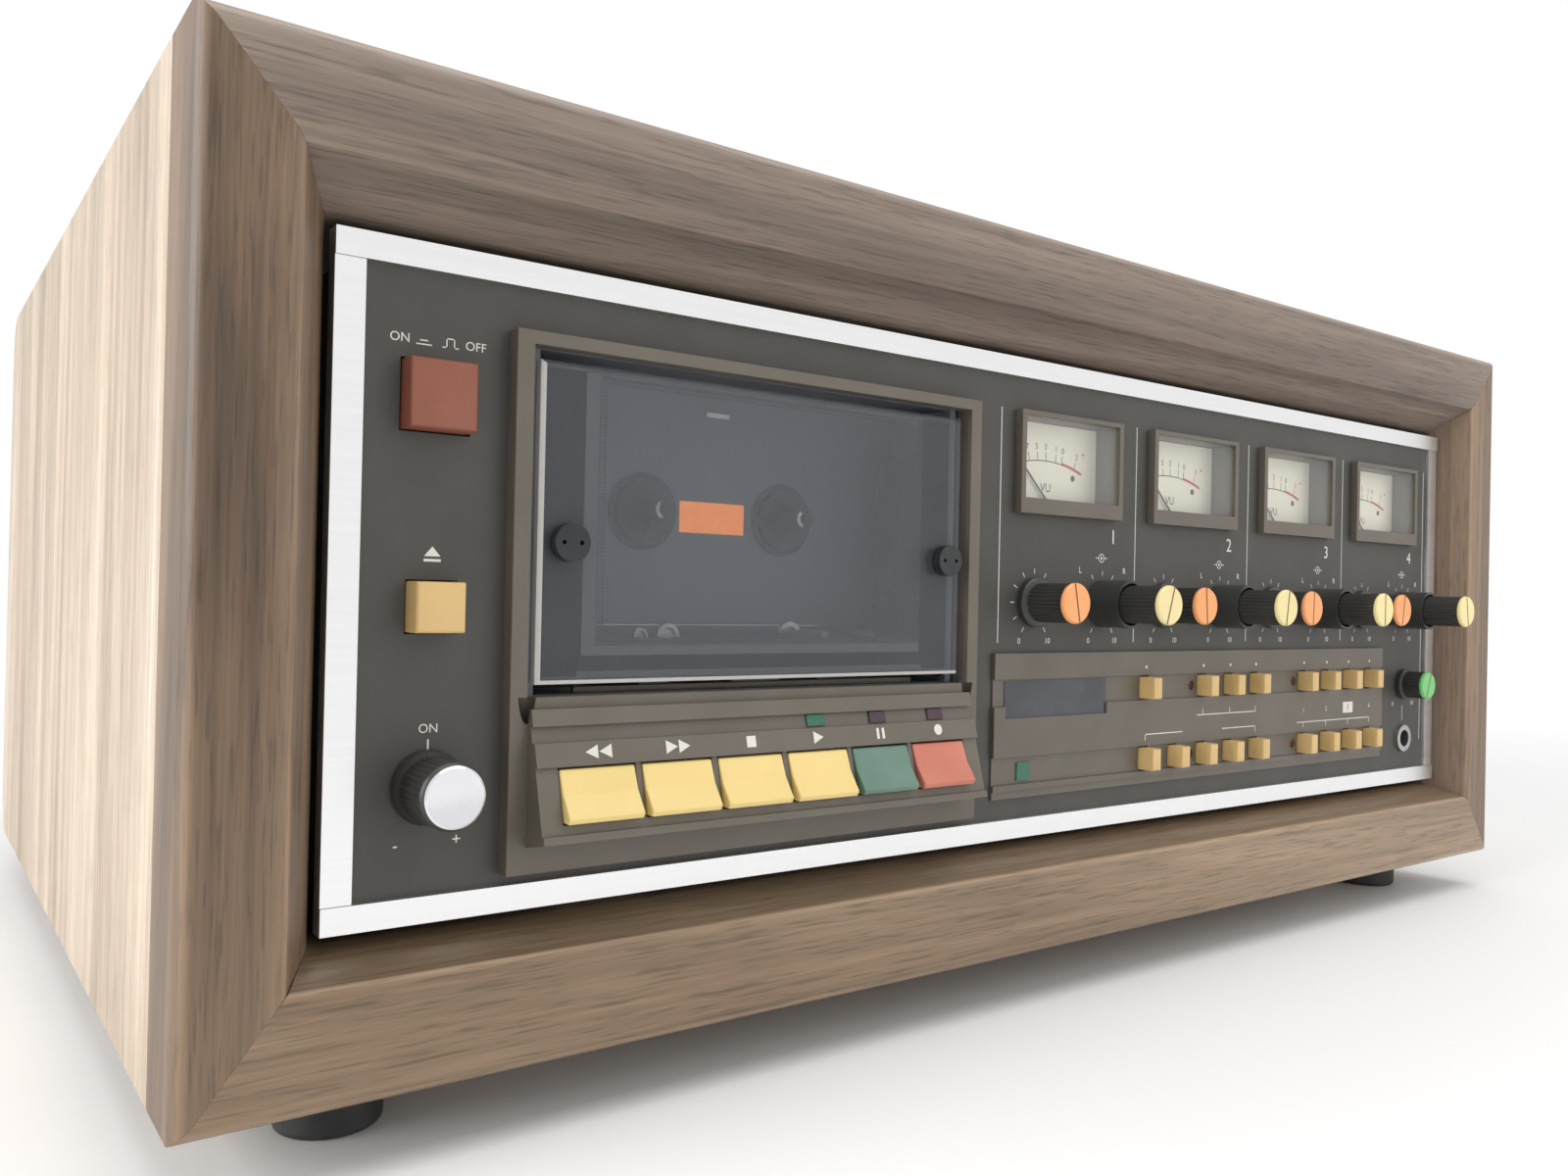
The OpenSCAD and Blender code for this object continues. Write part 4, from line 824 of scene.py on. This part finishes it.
def build_panel_print():
    """White printing on the black panel."""
    bm = bmesh.new()
    y = PANEL_Y - PRINT_LIFT
    for i, line_x in enumerate(LINE_X + [LINE_X[-1] + 60]):
        low = -12.7 if i < CHANNELS else -52
        add_line(bm, (line_x, low), (line_x, 53.4), y, 0.3)
    for i in range(CHANNELS):
        input_x, output_x = INPUT_X[i], OUTPUT_X[i]
        for knob_x, ring in ((input_x, 8.4), (output_x, 8.6)):
            for k in range(11):
                angle = math.radians(-150 + 30 * k)
                inner = (knob_x + ring * math.sin(angle), KNOB_Z + ring * math.cos(angle))
                outer = (knob_x + (ring + 1.3) * math.sin(angle), KNOB_Z + (ring + 1.3) * math.cos(angle))
                add_line(bm, inner, outer, y, 0.25)
            add_words(bm, "0", facing(knob_x - 6, y, -12.4), 2.4)
            add_words(bm, "10", facing(knob_x + 6, y, -12.4), 2.4)
        add_words(bm, "L", facing(output_x - 10.2, y, 8.6), 2.6)
        add_words(bm, "R", facing(output_x + 10.2, y, 8.8), 2.6)
        add_words(bm, str(i + 1), facing(output_x + 4.7, y, 18.9), 6.2)
        add_arc(bm, output_x - 0.6, 12.5, 1.2, 0, 360, y, 0.28)
        add_dot(bm, output_x - 0.6, 12.5, 0.45, y, 12)
        add_line(bm, (output_x - 3.2, 12.5), (output_x - 1.9, 12.5), y, 0.25)
        add_line(bm, (output_x + 0.7, 12.5), (output_x + 2.0, 12.5), y, 0.25)
    add_words(bm, "ON", facing(LEFT_X - 7.6, y, 48.6), 2.6)
    add_words(bm, "OFF", facing(LEFT_X + 8.2, y, 48.6), 2.6)
    add_line(bm, (LEFT_X - 4.2, 47.8), (LEFT_X - 1.2, 47.8), y, 0.25)
    add_line(bm, (LEFT_X - 3.4, 48.6), (LEFT_X - 2.0, 48.6), y, 0.25)
    add_line(bm, (LEFT_X + 1.2, 47.8), (LEFT_X + 2.0, 47.8), y, 0.25)
    add_line(bm, (LEFT_X + 2.0, 47.8), (LEFT_X + 2.0, 49.6), y, 0.25)
    add_line(bm, (LEFT_X + 2.0, 49.6), (LEFT_X + 3.6, 49.6), y, 0.25)
    add_line(bm, (LEFT_X + 3.6, 49.6), (LEFT_X + 3.6, 47.8), y, 0.25)
    add_line(bm, (LEFT_X + 3.6, 47.8), (LEFT_X + 4.4, 47.8), y, 0.25)
    add_line(bm, (LEFT_X, -31.6), (LEFT_X, -33.6), y, 0.35)
    add_words(bm, "ON", facing(LEFT_X, y, -29.3), 2.6)
    add_words(bm, "-", facing(LEFT_X - 6.2, y, -52.2), 3.4)
    add_words(bm, "+", facing(LEFT_X + 6.4, y, -52.2), 3.4)
    add_flat(bm, [(LEFT_X - 1.7, 5.4), (LEFT_X + 1.7, 5.4), (LEFT_X, 7.4)], y)
    add_line(bm, (LEFT_X - 1.5, 4.6), (LEFT_X + 1.5, 4.6), y, 0.55)
    phones_z = middle("phones_knob").z
    add_line(bm, (PHONES_X, phones_z - 8.5), (PHONES_X, phones_z - 14.0), y, 0.3)
    add_words(bm, "0", facing(PHONES_X - 7.2, y, phones_z - 7.6), 2.4)
    add_words(bm, "10", facing(PHONES_X + 7.4, y, phones_z - 7.6), 2.4)
    new_piece("panel_print", bm, print_white, flat=True)


def build_counter_print():
    """Brackets, figures and marks between the two rows of small buttons."""
    bm = bmesh.new()
    y = COUNTER_FRONT - PRINT_LIFT
    first = middle("upper_button_1").x

    def place(k):
        return first + SMALL_PITCH * k

    def bracket(z, left, right, ticks, drop):
        add_line(bm, (left, z), (right, z), y, 0.3)
        for tick in ticks:
            add_line(bm, (tick, z), (tick, z + drop), y, 0.3)

    bracket(-36.6, place(2) - 3, place(4), [place(2), place(3), place(4)], 1.8)
    bracket(-41.6, place(0), place(1) + 4, [place(0)], -1.8)
    bracket(-41.6, place(3) - 4, place(4), [place(4)], -1.8)
    bracket(-41.6, place(6) - 4, place(9), [place(k) for k in (6, 7, 8, 9)], -1.8)
    for k, figure in zip((6, 7, 8, 9), "1234"):
        add_words(bm, figure, facing(place(k), y, -37.4), 2.4)
    left, right = place(8) - 3.4, place(8) + 3.4
    add_flat(bm, [(left, -39.4), (right, -39.4), (right, -35.4), (left, -35.4)], y)
    for k in (0, 2, 3, 4):
        add_dot(bm, place(k), -20.6, 0.5, y, 12)
    for k in (6, 7, 8, 9):
        add_dot(bm, place(k), -20.6, 0.5, y, 12)
    new_piece("counter_print", bm, print_white, flat=True)


def build_door():
    """The pane, whose left and lower edge faces carry a painted reflection, with its painted border and the
    rows of dots round its window.
    """
    low, high = panel_place("door_glass")
    bm = bmesh.new()
    add_box(bm, low, high)
    front = [edge for edge in bm.edges if all(abs(vert.co.y - at(*low).y) < 1e-6 for vert in edge.verts)]
    bevel_edges(bm, 0.9 * MM, 1, edges=front)
    # The left and lower edge faces take the pale painted reflection.
    for face in bm.faces:
        if face.normal.x < -0.5 or face.normal.z < -0.5:
            face.material_index = 1
    pane = new_piece("glass_pane", bm, [smoked, pane_edge_reflection], "door", flat=True)
    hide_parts("door_glass")

    left, right, bottom, top = TRANSPORT_X - 46.2, TRANSPORT_X + 52.4, -12.6, 46.4
    y = high.y + PRINT_LIFT
    bm = bmesh.new()
    sides = ((low.x + 1, left, low.z + 1, high.z - 1), (right, high.x - 1, low.z + 1, high.z - 1),
             (left, right, low.z + 1, bottom), (left, right, top, high.z - 1))
    for x0, x1, z0, z1 in sides:
        add_flat(bm, [(x0, z0), (x1, z0), (x1, z1), (x0, z1)], y)
    new_piece("glass_border", bm, backing, "door", flat=True)

    bm = bmesh.new()
    pitch, dot = 0.8, 0.27
    for row in range(3):
        inset = row * pitch * 0.85
        shift = pitch / 2 * (row % 2)
        across = int((right - left - 2 * inset) / pitch)
        down = int((top - bottom - 2 * inset) / pitch)
        spots = [(left + inset + shift + pitch * k, z) for k in range(across)
                 for z in (bottom + inset, top - inset)]
        spots += [(x, bottom + inset + shift + pitch * k) for k in range(down)
                  for x in (left + inset, right - inset)]
        for x, z in spots:
            square = [(x - dot, z - dot), (x - dot, z + dot), (x + dot, z + dot), (x + dot, z - dot)]
            add_flat(bm, square, y - 0.02)
    new_piece("door_dots", bm, border_print, "door", flat=True)


# The head bridge rises to 12.5 mm under the middle, so what is over it ends above that.
SHELF_LOW = -12.2


def build_well():
    """The shelf under the cassette with its guides, the catch, the ledge at the mouth, the spindles'
    tips and the rings round them."""
    bm = bmesh.new()
    add_box(bm, (TRANSPORT_X - 46, DECK_Y - 7, SHELF_LOW), (TRANSPORT_X + 46, DECK_Y - 0.1, -8.4))
    bevel_edges(bm, 0.5 * MM, 2)
    new_piece("tape_shelf", bm, black_plastic)
    bm = bmesh.new()
    add_box(bm, (TRANSPORT_X - 44, DECK_Y - 7.05, -8.8), (TRANSPORT_X + 30, DECK_Y - 7.01, -8.55))
    for offset, radius in ((-25.5, 2.2), (-17.8, 3.4), (19.2, 4.0)):
        outline = [(radius, DECK_Y - 7.1), (radius - 0.3, DECK_Y - 8.2), (radius * 0.62, DECK_Y - 8.2),
                   (radius * 0.5, DECK_Y - 7.4), (0, DECK_Y - 7.4)]
        add_lathe(bm, TRANSPORT_X + offset, -11.4, outline)
    everything = bm.verts[:] + bm.edges[:] + bm.faces[:]
    cut = bmesh.ops.bisect_plane(bm, geom=everything, plane_co=at(0, 0, SHELF_LOW), plane_no=(0, 0, 1),
                                 clear_inner=True)
    rims = [item for item in cut["geom_cut"] if isinstance(item, bmesh.types.BMEdge)]
    bmesh.ops.holes_fill(bm, edges=rims, sides=0)
    add_box(bm, (TRANSPORT_X - 3.4, DECK_Y - 0.8, 44.4), (TRANSPORT_X + 3.6, DECK_Y - 0.1, 45.6))
    new_piece("tape_guides", bm, bright_metal)
    bm = bmesh.new()
    add_box(bm, (TRANSPORT_X - 50, 4.4, -23.35), (TRANSPORT_X + 50, 5.9, -21.9))
    bevel_edges(bm, 0.3 * MM, 2)
    new_piece("mouth_ledge", bm, brown_plastic)
    for reel in ("supply_reel", "takeup_reel"):
        bm = bmesh.new()
        tip = panel_place(reel)[0].y
        spot = middle(reel)
        outline = [(2.3, tip + 2.2), (2.3, tip + 1.9), (1.1, tip + 0.9), (1.0, tip + 0.4), (0.0, tip + 0.3)]
        add_lathe(bm, spot.x, spot.z, outline, 24)
        new_piece(reel + "_tip", bm, bright_metal, reel)
    bm = bmesh.new()
    outline = [(9.6, DECK_Y - 0.05), (9.6, DECK_Y - 0.5), (8.6, DECK_Y - 0.7), (8.3, DECK_Y - 0.05)]
    for side in (-1, 1):
        add_lathe(bm, TRANSPORT_X + side * 21.25, middle("supply_reel").z, outline)
    new_piece("reel_rings", bm, screw_black)


# ---- The CAD nodes' finishes ----

dress("case_boards", wood_boards)
dress("feet", rubber)
dress("chassis", black_paint)
dress("faceplate", panel_paint)
dress("trim_rails", aluminium)
dress("transport_bezel", brown_plastic)
dress("panel_mouldings", brown_plastic)
dress("deck_plate", well_plastic)
dress("cassette_holder", screw_black)
dress("supply_reel", screw_black)
dress("takeup_reel", screw_black)
# The head bridge's darker steel is painted shade for the gap under the pane.
dress("head_bridge", steel_darkened_for_shade)
dress("electronics", split_finish("fittings", "Y", (TRIM_Y + 250) * MM, ink(190, 190, 190),
                                  ink(60, 60, 60), 0.35, (1.0, 0.0)))

build_mouldings()
build_channel_knobs()
build_pitch_knob()
build_keys()
build_buttons()
build_windows()
build_dials()
build_key_print()
build_panel_print()
build_counter_print()
build_door()
build_well()

# ---- Floor, light and camera ----

def build_floor():
    bm = bmesh.new()
    bmesh.ops.create_grid(bm, x_segments=1, y_segments=1, size=6)
    mesh = bpy.data.meshes.new("floor")
    bm.to_mesh(mesh)
    bm.free()
    finish = Finish("pale_floor", ink(244, 244, 244), 0.6)
    cloud = finish.noise(finish.place(), 3, 2)
    finish.rough(finish.span(cloud, 0.55, 0.7))
    nodes, links = finish.nodes, finish.links
    length = finish.add("ShaderNodeVectorMath", operation="LENGTH")
    links.new(finish.place(), length.inputs[0])
    far = finish.step(length.outputs["Value"], 0.5, 1.0)
    path = finish.add("ShaderNodeLightPath")
    seen = finish.maths("MAXIMUM", path.outputs["Is Camera Ray"], path.outputs["Is Transmission Ray"])
    seen = finish.maths("MAXIMUM", seen, path.outputs["Is Glossy Ray"])
    white = finish.add("ShaderNodeEmission")
    white.inputs["Color"].default_value = (1, 1, 1, 1)
    mixed = finish.add("ShaderNodeMixShader")
    links.new(finish.maths("MULTIPLY", far, seen), mixed.inputs["Fac"])
    links.new(finish.shader.outputs["BSDF"], mixed.inputs[1])
    links.new(white.outputs["Emission"], mixed.inputs[2])
    links.new(mixed.outputs["Shader"], nodes["Material Output"].inputs["Surface"])
    mesh.materials.append(finish.material)
    floor = bpy.data.objects.new("floor", mesh)
    bpy.context.scene.collection.objects.link(floor)


def build_light():
    world = bpy.data.worlds.new("studio")
    bpy.context.scene.world = world
    world.use_nodes = True
    nodes, links = world.node_tree.nodes, world.node_tree.links
    nodes.clear()
    output = nodes.new("ShaderNodeOutputWorld")
    background = nodes.new("ShaderNodeBackground")
    path = nodes.new("ShaderNodeLightPath")
    seen = nodes.new("ShaderNodeMath")
    seen.operation = "MAXIMUM"
    strength = nodes.new("ShaderNodeMapRange")
    background.inputs["Color"].default_value = (1, 1, 1, 1)
    strength.inputs["To Min"].default_value = 0.5
    strength.inputs["To Max"].default_value = 1.0
    also = nodes.new("ShaderNodeMath")
    also.operation = "MAXIMUM"
    links.new(path.outputs["Is Camera Ray"], seen.inputs[0])
    links.new(path.outputs["Is Transmission Ray"], seen.inputs[1])
    links.new(seen.outputs["Value"], also.inputs[0])
    links.new(path.outputs["Is Glossy Ray"], also.inputs[1])
    links.new(also.outputs["Value"], strength.inputs["Value"])
    links.new(strength.outputs["Result"], background.inputs["Strength"])
    links.new(background.outputs["Background"], output.inputs["Surface"])

    def soft_box(name, place, target, size, power):
        data = bpy.data.lights.new(name, "AREA")
        data.shape = "RECTANGLE"
        data.size, data.size_y = size
        data.energy = power
        lamp_object = bpy.data.objects.new(name, data)
        aim = Vector(target) - Vector(place)
        lamp_object.location = place
        lamp_object.rotation_euler = aim.to_track_quat("-Z", "Y").to_euler()
        bpy.context.scene.collection.objects.link(lamp_object)
        return lamp_object

    soft_box("overhead", (0.1, -0.5, 1.6), (0, 0, 0.1), (1.6, 1.2), 13)
    soft_box("left_side", (-1.7, 0.1, 0.6), (0, 0, 0.1), (1.2, 1.2), 31)
    fill = soft_box("right_front", (0.75, -1.1, 0.5), (0.25, -0.1, 0.1), (0.9, 0.9), 5.4)
    # Its mirror image would lie in the tape door.
    fill.visible_glossy = False


def build_camera():
    """The camera fitted to the photograph, from the front of the case."""
    focal_px, image_w = 1251.83, 1600
    place = Vector((-285.26, -229.41 + FRONT_Y, -2.43 + FOOT_H + CASE_H / 2)) * MM
    turn = Vector((1.5123, -0.4813, 0.5175))
    rows = Matrix.Rotation(turn.length, 3, turn.normalized())
    data = bpy.data.cameras.new("camera")
    data.sensor_width = 36
    data.lens = focal_px * 36 / image_w
    data.clip_start = 0.01
    camera = bpy.data.objects.new("camera", data)
    columns = Matrix((rows[0], -rows[1], -rows[2])).transposed()
    camera.matrix_world = Matrix.Translation(place) @ columns.to_4x4()
    bpy.context.scene.collection.objects.link(camera)
    bpy.context.scene.camera = camera


build_floor()
build_light()
build_camera()
bpy.context.scene.view_settings.view_transform = "Standard"
